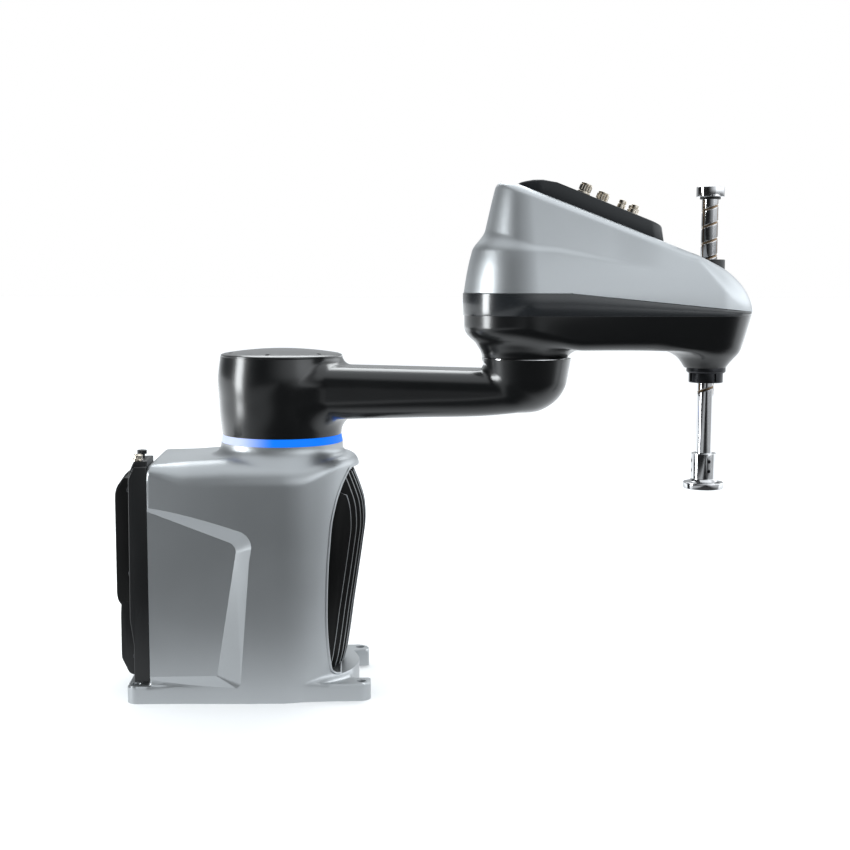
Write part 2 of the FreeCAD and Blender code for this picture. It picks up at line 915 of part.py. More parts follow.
def shoulder_cap_screws():
    screw = rod(cap_screw_radius, drum_top, drum_top + cap_screw_height, cap_screw_circle)
    return along_inner_link(Part.makeCompound(around(screw, cap_screw_count, cap_screw_phase)))


def shoulder_output_flange():
    """The disc between the reducer and the drum."""
    return tube(output_flange_bore, output_flange_radius, gear_top + running_gap, drum_bottom)


def elbow_gear():
    """The reducer of the elbow, whose upper rim stands a little out of the bowl."""
    rim = outer_neck_radius - running_gap
    rim_top = neck_bottom - running_gap
    return at_elbow(turned([
        (gear_hollow_radius, elbow_bore_floor),
        (elbow_bore_radius - fit_gap, elbow_bore_floor),
        (elbow_bore_radius - fit_gap, elbow_top),
        (rim, elbow_top),
        (rim, rim_top),
        (gear_hollow_radius, rim_top),
    ]))


def hull_wire(radius_elbow, radius_quill, height):
    """The plan of the outer link: two circles on the elbow and quill axes and their tangents."""
    tilt = math.asin((radius_elbow - radius_quill) / outer_link_length)
    lean = math.sin(tilt)
    rise = math.cos(tilt)
    length = outer_link_length
    start = Vector(radius_elbow * lean, radius_elbow * rise, height)
    finish = Vector(length + radius_quill * lean, radius_quill * rise, height)
    start_low = Vector(start.x, -start.y, height)
    finish_low = Vector(finish.x, -finish.y, height)
    return Part.Wire([
        Part.Arc(start, Vector(-radius_elbow, 0, height), start_low).toShape(),
        Part.LineSegment(start_low, finish_low).toShape(),
        Part.Arc(finish_low, Vector(length + radius_quill, 0, height), finish).toShape(),
        Part.LineSegment(finish, start).toShape(),
    ])


def hull_loft(sections, foot, inset=0.0):
    wires = []
    for rise, draw_elbow, draw_quill in sections:
        near = band_radius_elbow - draw_elbow - inset
        far = band_radius_quill - draw_quill - inset
        wires.append(hull_wire(near, far, foot + rise))
    return Part.makeLoft(wires, True, False)


def shell_loft(inset):
    """The covers' outer form: a flared skirt, a shoulder and a narrower tower on top of it."""
    stretches = (skirt_sections, shoulder_sections, tower_sections)
    return joined([hull_loft(stretch, outer_split, inset) for stretch in stretches])


def outer_link_casting():
    rim = (housing_height,) + housing_overhang
    housing = hull_loft(housing_sections + (rim,), outer_floor)
    neck = rod(outer_neck_radius, neck_bottom, outer_floor + overcut)
    flare_foot = neck_bottom + overcut
    neck_flare = turned([
        (0, flare_foot),
        (outer_neck_radius, flare_foot),
        (outer_neck_radius + edge_break, flare_foot + outer_neck_height / 3, 6),
        (outer_neck_radius + neck_flare_step, outer_floor + overcut),
        (0, outer_floor + overcut),
    ])
    floor_radius = band_radius_quill - housing_sections[0][2]
    nose = turned([
        (0, nose_bottom),
        (nose_radius, nose_bottom, edge_break),
        (nose_hip_radius, nose_bottom + nose_hip_rise, 10),
        (floor_radius - fit_gap, nose_bottom + nose_root_rise, 8),
        (floor_radius, outer_floor + overcut),
        (0, outer_floor + overcut),
    ])
    outside = joined([housing, neck, neck_flare, moved(nose, outer_link_length, 0, 0)])
    room_low = [band_radius_elbow - housing_sections[0][1], floor_radius]
    room_high = [band_radius_elbow - housing_overhang[0], band_radius_quill - housing_overhang[1]]
    cavity = Part.makeLoft([
        hull_wire(room_low[0] - outer_wall, room_low[1] - outer_wall, outer_floor_inside),
        hull_wire(room_high[0] - outer_wall, room_high[1] - outer_wall, outer_split + overcut),
    ], True, True)
    bearing_top = nose_bottom + seal_seat + spline_bearing_height
    cuts = [
        cavity,
        rod(elbow_pilot_radius, neck_bottom - overcut, outer_floor_inside + overcut),
        rod(spline_bearing_radius, nose_bottom - overcut, bearing_top, outer_link_length),
        rod(nut_way_radius, bearing_top - overcut, outer_floor_inside + overcut, outer_link_length),
    ]
    shape = outside.cut(cuts)
    low = outer_floor_inside - overcut
    posts = []
    for side in (-1, 1):
        for x, half, top in (
            (bracket_rear + post_edge, bracket_half_rear - post_edge, bracket_bottom),
            (bracket_front - post_edge, bracket_half_front - post_edge, bracket_bottom),
            (outer_link_length - nut_plate_rear + post_edge, nut_plate_half_rear - post_edge, nut_plate_bottom),
            (outer_link_length + nut_plate_front - post_edge, nut_plate_half_front - post_edge, nut_plate_bottom),
        ):
            posts.append(rod(post_radius, low, top, x, side * half))
    return at_elbow(joined([shape] + posts))


def seam_slab():
    """Everything below the seam between the band and the upper cover."""
    return side_slab([
        (-beyond, band_top),
        (band_flat_end, band_top, 60),
        (outer_link_length + band_nose_reach, band_nose_top),
        (beyond, band_nose_top),
        (beyond, outer_floor),
        (-beyond, outer_floor),
    ], -beyond, beyond)


def slope_height(x):
    return slope_start_z - slope_rate * (x - slope_start_x)


def cover_side(inset):
    """The side view of the upper cover: a tall rear, a long slope and a rolled nose."""
    nose_x = outer_link_length + cover_nose_reach - inset
    drop = inset * math.hypot(1, slope_rate)
    top = cover_top - inset
    return side_slab([
        (-beyond, outer_floor),
        (-beyond, top),
        (slope_start_x - edge_break, top),
        (slope_start_x, slope_height(slope_start_x) - drop),
        (nose_x, slope_height(nose_x) - drop, cover_nose_round),
        (nose_x + overcut, outer_floor),
    ], -beyond, beyond)


def cover_band():
    """The dark band under the seam, open at its lower edge."""
    outside = hull_loft(skirt_sections, outer_split).common(seam_slab())
    inside = hull_loft(skirt_sections, outer_split, cover_wall)
    return at_elbow(outside.cut([inside, moved(inside, 0, 0, -cover_wall)]))


def outer_cover():
    outside = shell_loft(cover_reveal).common(cover_side(0)).cut(seam_slab())
    inside = shell_loft(cover_reveal + cover_wall).common(cover_side(cover_wall))
    guide_hole = rod(guide_radius + fit_gap, outer_split, stop_bottom, outer_link_length)
    return at_elbow(outside.cut([inside, guide_hole]))


def io_panel():
    """The dark connector panel that stands on the slope of the cover."""
    crest = slope_start_x + (slope_start_z + panel_height - cover_top) / slope_rate
    side = side_slab([
        (slope_start_x, slope_height(slope_start_x)),
        (slope_start_x + 2 * slope_start_drop, cover_top, 3),
        (crest, cover_top, panel_crest_round),
        (panel_end, slope_height(panel_end) + panel_height, panel_nose_round),
        (panel_end, slope_height(panel_end)),
    ], -beyond, beyond)
    plan = flat_slab([
        (slope_start_x, -panel_half_rear, panel_corner_rear),
        (panel_end + edge_break, -panel_half_front, panel_corner_front),
        (panel_end + edge_break, panel_half_front, panel_corner_front),
        (slope_start_x, panel_half_rear, panel_corner_rear),
    ], outer_split, stop_top)
    return at_elbow(side.common(plan))


def on_panel(shape, x, y):
    """Stands a shape, drawn about the Z axis from z = 0, upright on the panel's slope."""
    copy = shape.copy()
    copy.rotate(Vector(0, 0, 0), Vector(0, 1, 0), math.degrees(math.atan(slope_rate)))
    return at_elbow(moved(copy, x, y, slope_height(x) + panel_height))


def round_connector(radius, height):
    """A round plug or fitting: a collar, a barrel and a shallow socket in its end."""
    return turned([
        (0, 0),
        (radius + collar_lip, 0),
        (radius + collar_lip, collar_thickness),
        (radius, collar_thickness),
        (radius, height, edge_break),
        (radius - socket_wall, height),
        (radius - socket_wall, height - socket_depth),
        (0, height - socket_depth),
    ])


def signal_connectors():
    connector = round_connector(signal_radius, signal_height)
    return Part.makeCompound([on_panel(connector, x, y) for x, y in ((68.0, -8.0), (91.0, 4.0))])


def air_fittings():
    fitting = round_connector(fitting_radius, fitting_height)
    places = ((112.0, -12.0), (126.0, -16.0), (126.0, 0.0), (133.0, 14.0))
    return Part.makeCompound([on_panel(fitting, x, y) for x, y in places])


def elbow_motor():
    """The motor of the elbow stands on the housing's floor, with its pilot in the neck."""
    pilot = rod(elbow_pilot_radius - fit_gap, neck_bottom + fit_gap, outer_floor_inside)
    body = moved(upside_down(servo_motor(elbow_motor_size)), 0, 0, outer_floor_inside)
    return at_elbow(joined([pilot, body]))


def motor_bracket():
    plate = flat_slab([
        (bracket_rear, -bracket_half_rear, plate_corner),
        (bracket_front, -bracket_half_front, plate_corner),
        (bracket_front, bracket_half_front, plate_corner),
        (bracket_rear, bracket_half_rear, plate_corner),
    ], bracket_bottom, bracket_top)
    holes = []
    for x in (z_motor_x, theta_motor_x):
        holes.append(rod(arm_pilot_radius + fit_gap, bracket_bottom - overcut, bracket_top + overcut, x))
    return at_elbow(plate.cut(holes))


def arm_motor(x):
    """A small motor on the bracket, its pilot in the bracket's hole."""
    body = moved(upside_down(servo_motor(arm_motor_size)), x, 0, bracket_top)
    return at_elbow(joined([body, rod(arm_pilot_radius, bracket_bottom, bracket_top, x)]))


def toothed_pulley(radius, bore, low, teeth):
    """A pulley with a round-bottomed groove for each belt tooth, between two flanges."""
    body = tube(bore, radius, low, low + belt_width)
    groove_radius = math.pi * radius / teeth * 0.55
    groove = rod(groove_radius, low + overcut, low + belt_width - overcut, radius + running_gap)
    return body.cut(around(groove, teeth))


def belt(x, low):
    """A closed belt round the small pulley at x and the large pulley on the quill axis."""
    span = outer_link_length - x
    shapes = []
    for extra in (belt_thickness, 0.0):
        near = small_pulley_radius + belt_fit + extra
        far = large_pulley_radius + belt_fit + extra
        tilt = math.asin((far - near) / span)
        start = Vector(x - near * math.sin(tilt), near * math.cos(tilt), low)
        finish = Vector(x + span - far * math.sin(tilt), far * math.cos(tilt), low)
        start_low = Vector(start.x, -start.y, low)
        finish_low = Vector(finish.x, -finish.y, low)
        wire = Part.Wire([
            Part.Arc(start, Vector(x - near, 0, low), start_low).toShape(),
            Part.LineSegment(start_low, finish_low).toShape(),
            Part.Arc(finish_low, Vector(x + span + far, 0, low), finish).toShape(),
            Part.LineSegment(finish, start).toShape(),
        ])
        shapes.append(Part.Face(wire).extrude(Vector(0, 0, belt_width)))
    return at_elbow(shapes[0].cut(shapes[1]))


def small_pulley(x, low):
    """A motor pulley with its shaft end, which turns in the motor's pilot."""
    teeth = toothed_pulley(small_pulley_radius, shaft_gap, low, small_pulley_teeth)
    shaft = rod(motor_shaft_radius, low, bracket_bottom - running_gap)
    hub = rod(pulley_hub_radius, low + belt_width, bracket_bottom - 2 * running_gap)
    return at_elbow(moved(joined([teeth, shaft, hub]), x, 0, 0))


def spline_nut():
    return at_quill(tube(quill_radius + shaft_gap, spline_nut_radius, spline_nut_bottom, spline_nut_top))


def theta_pulley():
    return at_quill(toothed_pulley(large_pulley_radius, spline_nut_radius, theta_belt_bottom, large_pulley_teeth))


def ball_nut():
    return at_quill(tube(quill_radius + shaft_gap, ball_nut_radius, ball_nut_bottom, ball_nut_top))


def z_pulley():
    return at_quill(toothed_pulley(large_pulley_radius, ball_nut_radius, z_belt_bottom, large_pulley_teeth))


def nut_plate():
    """The plate across the housing that carries the screw nut's bearing and the guide."""
    plate = flat_slab([
        (-nut_plate_rear, -nut_plate_half_rear, plate_corner),
        (nut_plate_front, -nut_plate_half_front, nut_plate_round),
        (nut_plate_front, nut_plate_half_front, nut_plate_round),
        (-nut_plate_rear, nut_plate_half_rear, plate_corner),
    ], nut_plate_bottom, nut_plate_top)
    seat = rod(bearing_radius, nut_plate_bottom - overcut, nut_plate_top - nut_plate_lip)
    way = rod(nut_way_radius, nut_plate_bottom - overcut, nut_plate_top + overcut)
    return at_quill(plate.cut([seat, way]))


def nut_bearing():
    bore = ball_nut_radius + shaft_gap
    return at_quill(tube(bore, bearing_radius - shaft_gap, nut_plate_bottom, nut_plate_top - nut_plate_lip))


def spline_bearing():
    low = nose_bottom + seal_seat
    bore = spline_nut_radius + shaft_gap
    return at_quill(tube(bore, spline_bearing_radius - shaft_gap, low, low + spline_bearing_height))


def quill_guide():
    """The dark collar through which the quill leaves the top of the cover."""
    guide_top = slope_height(outer_link_length) + guide_rise
    return at_quill(turned([
        (nut_way_radius, nut_plate_top),
        (guide_radius, nut_plate_top),
        (guide_radius, guide_top, edge_break),
        (quill_radius + guide_gap, guide_top),
        (quill_radius + guide_gap, guide_top - guide_lip),
        (nut_way_radius, guide_top - 2 * guide_lip),
    ]))


def nose_flange():
    ring = tube(spline_nut_radius + running_gap, nose_flange_radius, nose_flange_bottom, nose_bottom)
    well = rod(nose_screw_radius + fit_gap, nose_flange_bottom - overcut, nose_bottom + overcut, nose_screw_circle)
    return at_quill(ring.cut(around(well, nose_screw_count, 180 / nose_screw_count)))


def nose_flange_screws():
    screw = rod(nose_screw_radius, nose_flange_bottom + running_gap, nose_bottom, nose_screw_circle)
    return at_quill(Part.makeCompound(around(screw, nose_screw_count, 180 / nose_screw_count)))


def nose_nut():
    """The slotted ring nut that holds the seal."""
    ring = tube(spline_nut_radius + running_gap, nose_nut_radius, nose_nut_bottom, nose_flange_bottom)
    slot = block(
        (nose_nut_radius - nose_nut_slot_depth, -nose_nut_slot / 2, nose_nut_bottom - overcut),
        (nose_nut_radius + overcut, nose_nut_slot / 2, nose_flange_bottom - cover_wall),
    )
    return at_quill(ring.cut(around(slot, 4, 45)))


def quill_shaft():
    """The hollow shaft with its straight spline grooves."""
    shaft = tube(quill_bore_radius, quill_radius, quill_bottom, quill_top)
    groove_place = quill_radius + 0.45 * spline_groove_radius
    groove = rod(spline_groove_radius, quill_bottom - overcut, quill_top + overcut, groove_place)
    return at_quill(shaft.cut(around(groove, spline_groove_count, spline_groove_phase)))


def stop_collar():
    return at_quill(tube(quill_radius, stop_radius, stop_bottom, stop_top))


def stop_bumper():
    return at_quill(tube(quill_radius, bumper_radius, stop_bottom - bumper_thickness, stop_bottom))


def set_screws(radius):
    """Two screws one above the other, at each of two angles round the flange's hub."""
    screws = []
    for row in range(2):
        z = flange_bottom + set_screw_rise + row * set_screw_pitch
        for angle in set_screw_angles:
            seat = Vector(quill_radius + belt_fit, 0, z)
            screw = Part.makeCylinder(radius, set_screw_length, seat, Vector(1, 0, 0))
            screw.rotate(Vector(0, 0, 0), Vector(0, 0, 1), angle)
            screws.append(screw)
    return screws


def user_flange():
    rim = flange_top - flange_step
    shape = turned([
        (quill_radius, flange_bottom),
        (flange_radius, flange_bottom, edge_break),
        (flange_radius, rim, edge_break),
        (flange_hub_radius, flange_top + flange_step, flange_step),
        (flange_hub_radius, flange_hub_top, edge_break),
        (quill_radius, flange_hub_top),
    ])
    hole = rod(flange_hole_radius, flange_bottom - overcut, flange_top + 2 * flange_step, flange_hole_circle)
    return at_quill(shape.cut(around(hole, 4, 45) + set_screws(set_screw_radius + 2 * shaft_gap)))


def flange_set_screws():
    return at_quill(Part.makeCompound(set_screws(set_screw_radius)))


os.makedirs("parts", exist_ok=True)

save("base_casting", base_casting())
save("front_heat_sink", front_heat_sink())
save("rear_frame", rear_frame())
save("rear_heat_sink", rear_heat_sink())
save("rear_lower_cover", rear_lower_cover())
save("rear_frame_screws", rear_frame_screws())
save("encoder_connector", rear_fitting(encoder_radius, encoder_height, encoder_y))
save("brake_release_knob", brake_release_knob())
save("light_ring", light_ring())
save("shoulder_motor", shoulder_motor())
save("shoulder_gear", shoulder_gear())
save("drive_board", drive_board())
save("power_supply", power_supply())

save("inner_link_casting", inner_link_casting())
save("shoulder_output_flange", shoulder_output_flange())
save("shoulder_cap", shoulder_cap())
save("shoulder_cap_screws", shoulder_cap_screws())
save("elbow_gear", elbow_gear())

save("outer_link_casting", outer_link_casting())
save("cover_band", cover_band())
save("outer_cover", outer_cover())
save("io_panel", io_panel())
save("signal_connectors", signal_connectors())
save("air_fittings", air_fittings())
save("elbow_motor", elbow_motor())
save("motor_bracket", motor_bracket())
save("z_motor", arm_motor(z_motor_x))
save("theta_motor", arm_motor(theta_motor_x))
save("z_belt", belt(z_motor_x, z_belt_bottom))
save("theta_belt", belt(theta_motor_x, theta_belt_bottom))
save("nut_plate", nut_plate())
save("nut_bearing", nut_bearing())
save("spline_bearing", spline_bearing())
save("quill_guide", quill_guide())
save("nose_flange", nose_flange())
save("nose_flange_screws", nose_flange_screws())
save("nose_nut", nose_nut())

save("z_motor_pulley", small_pulley(z_motor_x, z_belt_bottom))
save("theta_motor_pulley", small_pulley(theta_motor_x, theta_belt_bottom))
save("spline_nut", spline_nut())
save("theta_pulley", theta_pulley())
save("ball_nut", ball_nut())
save("z_pulley", z_pulley())

save("quill_shaft", quill_shaft())
save("stop_collar", stop_collar())
save("stop_bumper", stop_bumper())
save("user_flange", user_flange())
save("flange_set_screws", flange_set_screws())
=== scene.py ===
# %% [markdown]
# # A four-axis SCARA robot
#
# The robot stands on a cast silver base. A black drum turns on it and carries the inner link, whose
# bowl carries the outer link: a black housing under a silver cover, with a ground steel quill in its
# nose. The frame (sizes, places and joints) comes from the CAD model, and this file makes the looks.
# All shapes are worked out in millimetres and become metres when a piece is put in place.

# %% Frame
import json
import math

import bmesh
import bpy
import numpy as np
from mathutils import Matrix, Vector


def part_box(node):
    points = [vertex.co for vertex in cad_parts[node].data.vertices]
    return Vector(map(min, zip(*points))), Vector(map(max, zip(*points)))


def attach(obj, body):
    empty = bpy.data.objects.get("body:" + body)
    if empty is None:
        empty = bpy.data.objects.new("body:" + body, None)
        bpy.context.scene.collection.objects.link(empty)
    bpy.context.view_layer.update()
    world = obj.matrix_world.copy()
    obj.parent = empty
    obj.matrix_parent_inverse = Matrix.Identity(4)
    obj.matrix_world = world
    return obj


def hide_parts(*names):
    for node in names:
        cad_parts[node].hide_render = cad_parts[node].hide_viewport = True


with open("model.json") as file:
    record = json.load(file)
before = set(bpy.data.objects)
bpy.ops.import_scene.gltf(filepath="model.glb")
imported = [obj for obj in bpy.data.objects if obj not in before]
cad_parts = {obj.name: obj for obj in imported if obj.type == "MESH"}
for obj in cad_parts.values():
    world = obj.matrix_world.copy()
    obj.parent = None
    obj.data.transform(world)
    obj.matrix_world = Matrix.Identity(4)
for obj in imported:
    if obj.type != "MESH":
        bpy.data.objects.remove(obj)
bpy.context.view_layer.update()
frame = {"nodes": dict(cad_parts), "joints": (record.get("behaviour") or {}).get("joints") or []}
MM = 0.001


def box_mm(node):
    """Lowest and highest corner of a CAD node, in millimetres."""
    low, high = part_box(node)
    return low / MM, high / MM


def added(name, data):
    """A new object in the scene."""
    thing = bpy.data.objects.new(name, data)
    bpy.context.scene.collection.objects.link(thing)
    return thing


def axis_mm(joint_name):
    """The place of a joint, in millimetres."""
    for joint in frame["joints"]:
        if joint["name"] == joint_name:
            return Vector(joint["pos_m"]) / MM
    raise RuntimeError("no joint " + joint_name)


shoulder = axis_mm("j1_shoulder")
elbow = axis_mm("j2_elbow")
quill_axis = axis_mm("j4_turn")
inner_length = math.hypot(elbow.x - shoulder.x, elbow.y - shoulder.y)
outer_length = quill_axis.x - elbow.x
inner_turn = math.atan2(elbow.y - shoulder.y, elbow.x - shoulder.x)
print("inner link", round(inner_length, 2), "mm, outer link", round(outer_length, 2), "mm")

# %% [markdown]
# ## Camera
#
# The place, direction and lens were found by matching measured points of the robot with the
# photograph. The photograph is square, and the sensor is 36 mm wide.

# %% Camera
camera_place = Vector((84.97, -1739.82, 529.19))
camera_down = 6.142
camera_aside = 3.349
camera_roll = 0.195
camera_lens = 56.48

camera_data = bpy.data.cameras.new("camera")
camera_data.lens = camera_lens
camera_data.sensor_width = 36
camera = added("camera", camera_data)
camera.location = camera_place * MM
camera.rotation_mode = "QUATERNION"
camera.rotation_quaternion = (
    Matrix.Rotation(math.radians(-camera_aside), 4, "Z")
    @ Matrix.Rotation(math.radians(90 - camera_down), 4, "X")
    @ Matrix.Rotation(math.radians(camera_roll), 4, "Z")
).to_quaternion()
bpy.context.scene.camera = camera
bpy.context.scene.view_settings.view_transform = "Standard"

# %% [markdown]
# ## Shader helpers
#
# A `Value` is one socket, and sums written with it add Math nodes. A `Finish` is one material in the
# making: its `node` method adds any other node. All patterns use object coordinates, in millimetres.


# %% Shader helpers
def arithmetic(operation, other_first=False):
    """A method of Value that adds a Math node."""

    def method(value, other):
        pair = {0: other, 1: value} if other_first else {0: value, 1: other}
        return value.finish.node("ShaderNodeMath", {"operation": operation}, pair)

    return method


class Value:
    """One output socket. Arithmetic on it adds Math nodes to its tree."""

    __add__ = arithmetic("ADD")
    __radd__ = arithmetic("ADD", True)
    __sub__ = arithmetic("SUBTRACT")
    __rsub__ = arithmetic("SUBTRACT", True)
    __mul__ = arithmetic("MULTIPLY")
    __rmul__ = arithmetic("MULTIPLY", True)
    __truediv__ = arithmetic("DIVIDE")

    def __init__(self, finish, socket):
        self.finish = finish
        self.socket = socket


class Nodes:
    """A node tree in the making."""

    def __init__(self, tree):
        self.tree = tree

    def node(self, kind, settings, sockets, output=0):
        """Add a node of a type, with its settings and then the values or links of its sockets."""
        added = self.tree.nodes.new(kind)
        for name, value in settings.items():
            setattr(added, name, value)
        for name, value in sockets.items():
            self.feed(added.inputs[name], value)
        return Value(self, added.outputs[output])

    def feed(self, socket, value):
        if isinstance(value, Value):
            self.tree.links.new(value.socket, socket)
        else:
            socket.default_value = value

    def clamped(self, value, low, high, smooth=True):
        """Where a value stands between two bounds, from 0 to 1."""
        settings = {"clamp": True, "interpolation_type": "SMOOTHSTEP" if smooth else "LINEAR"}
        return self.node("ShaderNodeMapRange", settings, {"Value": value, "From Min": low, "From Max": high})

    def part(self, vector, axis):
        """One coordinate of a vector."""
        return self.node("ShaderNodeSeparateXYZ", {}, {0: vector}, axis)

    def either(self, factor, first, second):
        """A shader between two shaders."""
        return self.node("ShaderNodeMixShader", {}, {0: factor, 1: first, 2: second})

    def ray(self, kind):
        """Whether a ray is of a kind."""
        return self.node("ShaderNodeLightPath", {}, {}, kind)

    def glowing(self, kind, strength, tint=(1.0, 1.0, 1.0)):
        """A shader that gives light."""
        return self.node(kind, {}, {"Color": grey(1.0, tint), "Strength": strength})

    def mixed(self, factor, first, second):
        """A colour between two colours."""
        sockets = {"Factor": factor, 6: first, 7: second}
        return self.node("ShaderNodeMix", {"data_type": "RGBA"}, sockets, 2)


class Finish(Nodes):
    """A material with a Principled shader."""

    def __init__(self, name):
        self.material = bpy.data.materials.new(name)
        self.material.use_nodes = True
        super().__init__(self.material.node_tree)
        self.shader = self.tree.nodes["Principled BSDF"]
        self.place = self.node("ShaderNodeTexCoord", {}, {}, "Object")
        sockets = {0: self.place, "Scale": 1 / MM}
        self.place_mm = self.node("ShaderNodeVectorMath", {"operation": "SCALE"}, sockets)

    def noise(self, scale, detail=2.0, roughness=0.5, stretch=None):
        """Noise with features per millimetre, from 0 to 1, stretched along the axes if asked."""
        place = self.place_mm
        if stretch is not None:
            place = self.node("ShaderNodeVectorMath", {"operation": "MULTIPLY"}, {0: place, 1: stretch})
        sockets = {"Vector": place, "Scale": scale, "Detail": detail, "Roughness": roughness}
        return self.node("ShaderNodeTexNoise", {}, sockets, "Fac")

    def bumped(self, height, distance, strength=1.0):
        """A normal from a height, with a distance in millimetres."""
        sockets = {"Height": height, "Distance": distance * MM, "Strength": strength}
        return self.node("ShaderNodeBump", {}, sockets)

    def set(self, **values):
        """Set sockets of the shader, by name with low lines for spaces."""
        for name, value in values.items():
            self.feed(self.shader.inputs[name.replace("_", " ")], value)
        return self.material


def grey(level, tint=(1.0, 1.0, 1.0)):
    """A grey as a colour, with a tint."""
    return (level * tint[0], level * tint[1], level * tint[2], 1.0)


# %% [markdown]
# ## Paints and plastics
#
# The base and the cover have a fine metallic silver paint: small flakes vary its brightness, and a
# faint orange peel breaks the reflections. The links have a satin charcoal paint whose roughness
# varies in soft clouds. The heat sinks are black anodised, with a fine grain from the
# extrusion, and the panels are moulded with a fine spark texture.

# %% Paints and plastics
COOL = (0.96, 1.0, 1.03)
DEEP = (0.86, 1.0, 1.16)


def metallic_paint(name, level, roughness, metallic):
    """Paint with fine metal flakes and a little orange peel."""
    paint = Finish(name)
    flakes = paint.noise(2.6, 2.0, 0.7)
    clouds = paint.noise(0.012, 3.0, 0.55)
    peel = paint.noise(0.35, 2.0, 0.5)
    shade = paint.clamped(flakes * 0.65 + clouds * 0.35, 0.25, 0.75, False)
    colour = paint.mixed(shade, grey(level * 0.93, COOL), grey(level * 1.06, COOL))
    grain = roughness + 0.05 * (clouds - 0.5) + 0.03 * (flakes - 0.5)
    normal = paint.bumped(flakes * 0.3 + peel, 0.025, 0.6)
    return paint.set(Base_Color=colour, Metallic=metallic, Roughness=grain, Normal=normal)


def satin_paint(name, level, roughness, coat=0.0):
    """Dark paint with pale specks."""
    paint = Finish(name)
    clouds = paint.noise(0.015, 4.0, 0.6)
    peel = paint.noise(0.55, 2.0, 0.5)
    specks = paint.clamped(paint.noise(1.9, 1.0, 0.5), 0.66, 0.8, False)
    colour = paint.mixed(clouds, grey(level * 0.85, DEEP), grey(level * 1.15, DEEP))
    colour = paint.mixed(specks * 0.25, colour, grey(level * 2.6, DEEP))
    grain = roughness + 0.1 * (clouds - 0.5) + 0.04 * (peel - 0.5)
    normal = paint.bumped(peel, 0.03, 0.5)
    return paint.set(
        Base_Color=colour, Roughness=grain, Normal=normal, Specular_IOR_Level=0.25, Coat_Weight=coat,
        Coat_Roughness=0.2,
    )


def anodised(name, level):
    """Black anodised aluminium, drawn along its height."""
    metal = Finish(name)
    drawn = metal.noise(0.9, 3.0, 0.6, (1.0, 1.0, 0.06))
    dust = metal.noise(0.02, 3.0, 0.6)
    colour = metal.mixed(dust, grey(level * 0.75), grey(level * 1.3))
    grain = 0.36 + 0.14 * (drawn - 0.5) + 0.1 * (dust - 0.5)
    normal = metal.bumped(drawn, 0.04, 0.5)
    return metal.set(
        Base_Color=colour, Metallic=0.1, Roughness=grain, Normal=normal, Specular_IOR_Level=0.25
    )


def moulded(name, level, roughness, texture=0.05, coat=0.0):
    """Plastic with a fine spark texture."""
    plastic = Finish(name)
    spark = plastic.noise(1.6, 3.0, 0.6)
    clouds = plastic.noise(0.02, 3.0, 0.5)
    colour = plastic.mixed(clouds, grey(level * 0.88, DEEP), grey(level * 1.12, DEEP))
    grain = roughness + 0.08 * (spark - 0.5) + 0.06 * (clouds - 0.5)
    normal = plastic.bumped(spark, texture, 0.6)
    return plastic.set(
        Base_Color=colour, Roughness=grain, Normal=normal, Coat_Weight=coat, Coat_Roughness=0.13
    )


# %% [markdown]
# ## Metals, belts and lights
#
# Ground steel shows very fine rings from the grinding wheel, and turned brass with nickel on it a
# warmer tone. The status ring is a light guide: it glows evenly, and its whiter side is a painted
# reflection of the left soft box. The quill's grooves are brown with oil, and a lighter metal on
# the front fins' edges is a painted highlight.


# %% Metals, belts and lights
def machined(name, colour, roughness, stretch, depth=0.01):
    metal = Finish(name)
    rings = metal.noise(2.2, 3.0, 0.6, stretch)
    smears = metal.noise(0.05, 4.0, 0.6)
    dark = tuple(channel * 0.86 for channel in colour) + (1.0,)
    bright = tuple(min(1.0, channel * 1.08) for channel in colour) + (1.0,)
    tone = metal.mixed(smears, dark, bright)
    grain = roughness + 0.08 * (smears - 0.5) + 0.06 * (rings - 0.5)
    normal = metal.bumped(rings, depth, 0.5)
    return metal.set(Base_Color=tone, Metallic=1.0, Roughness=grain, Normal=normal)


def light_guide(name):
    glow = Finish(name)
    across = glow.part(glow.place_mm, "X")
    # Whiter towards -X: a painted reflection of the left soft box, mixed into the glow's colour.
    painted_reflection = glow.clamped(across, -6.0, -64.0)
    ripple = glow.noise(0.08, 2.0, 0.5)
    colour = glow.mixed(painted_reflection, (0.0, 0.18, 0.92, 1.0), (0.74, 0.8, 0.92, 1.0))
    strength = 1.0 + 0.12 * (ripple - 0.5)
    glow.shader.inputs["Emission Strength"].default_value = 1.0
    lit = glow.node("ShaderNodeVectorMath", {"operation": "SCALE"}, {0: colour, "Scale": strength})
    return glow.set(
        Base_Color=(0.0, 0.03, 0.2, 1.0), Roughness=0.45, Emission_Color=lit, Specular_IOR_Level=0.15
    )


def board(name):
    green = Finish(name)
    tracks = green.node("ShaderNodeTexBrick", {}, {"Vector": green.place_mm, "Scale": 0.25}, "Fac")
    mottle = green.noise(0.5, 2.0, 0.5)
    colour = green.mixed(tracks, (0.005, 0.07, 0.03, 1.0), (0.03, 0.18, 0.08, 1.0))
    return green.set(Base_Color=colour, Roughness=0.35 + 0.2 * (mottle - 0.5))


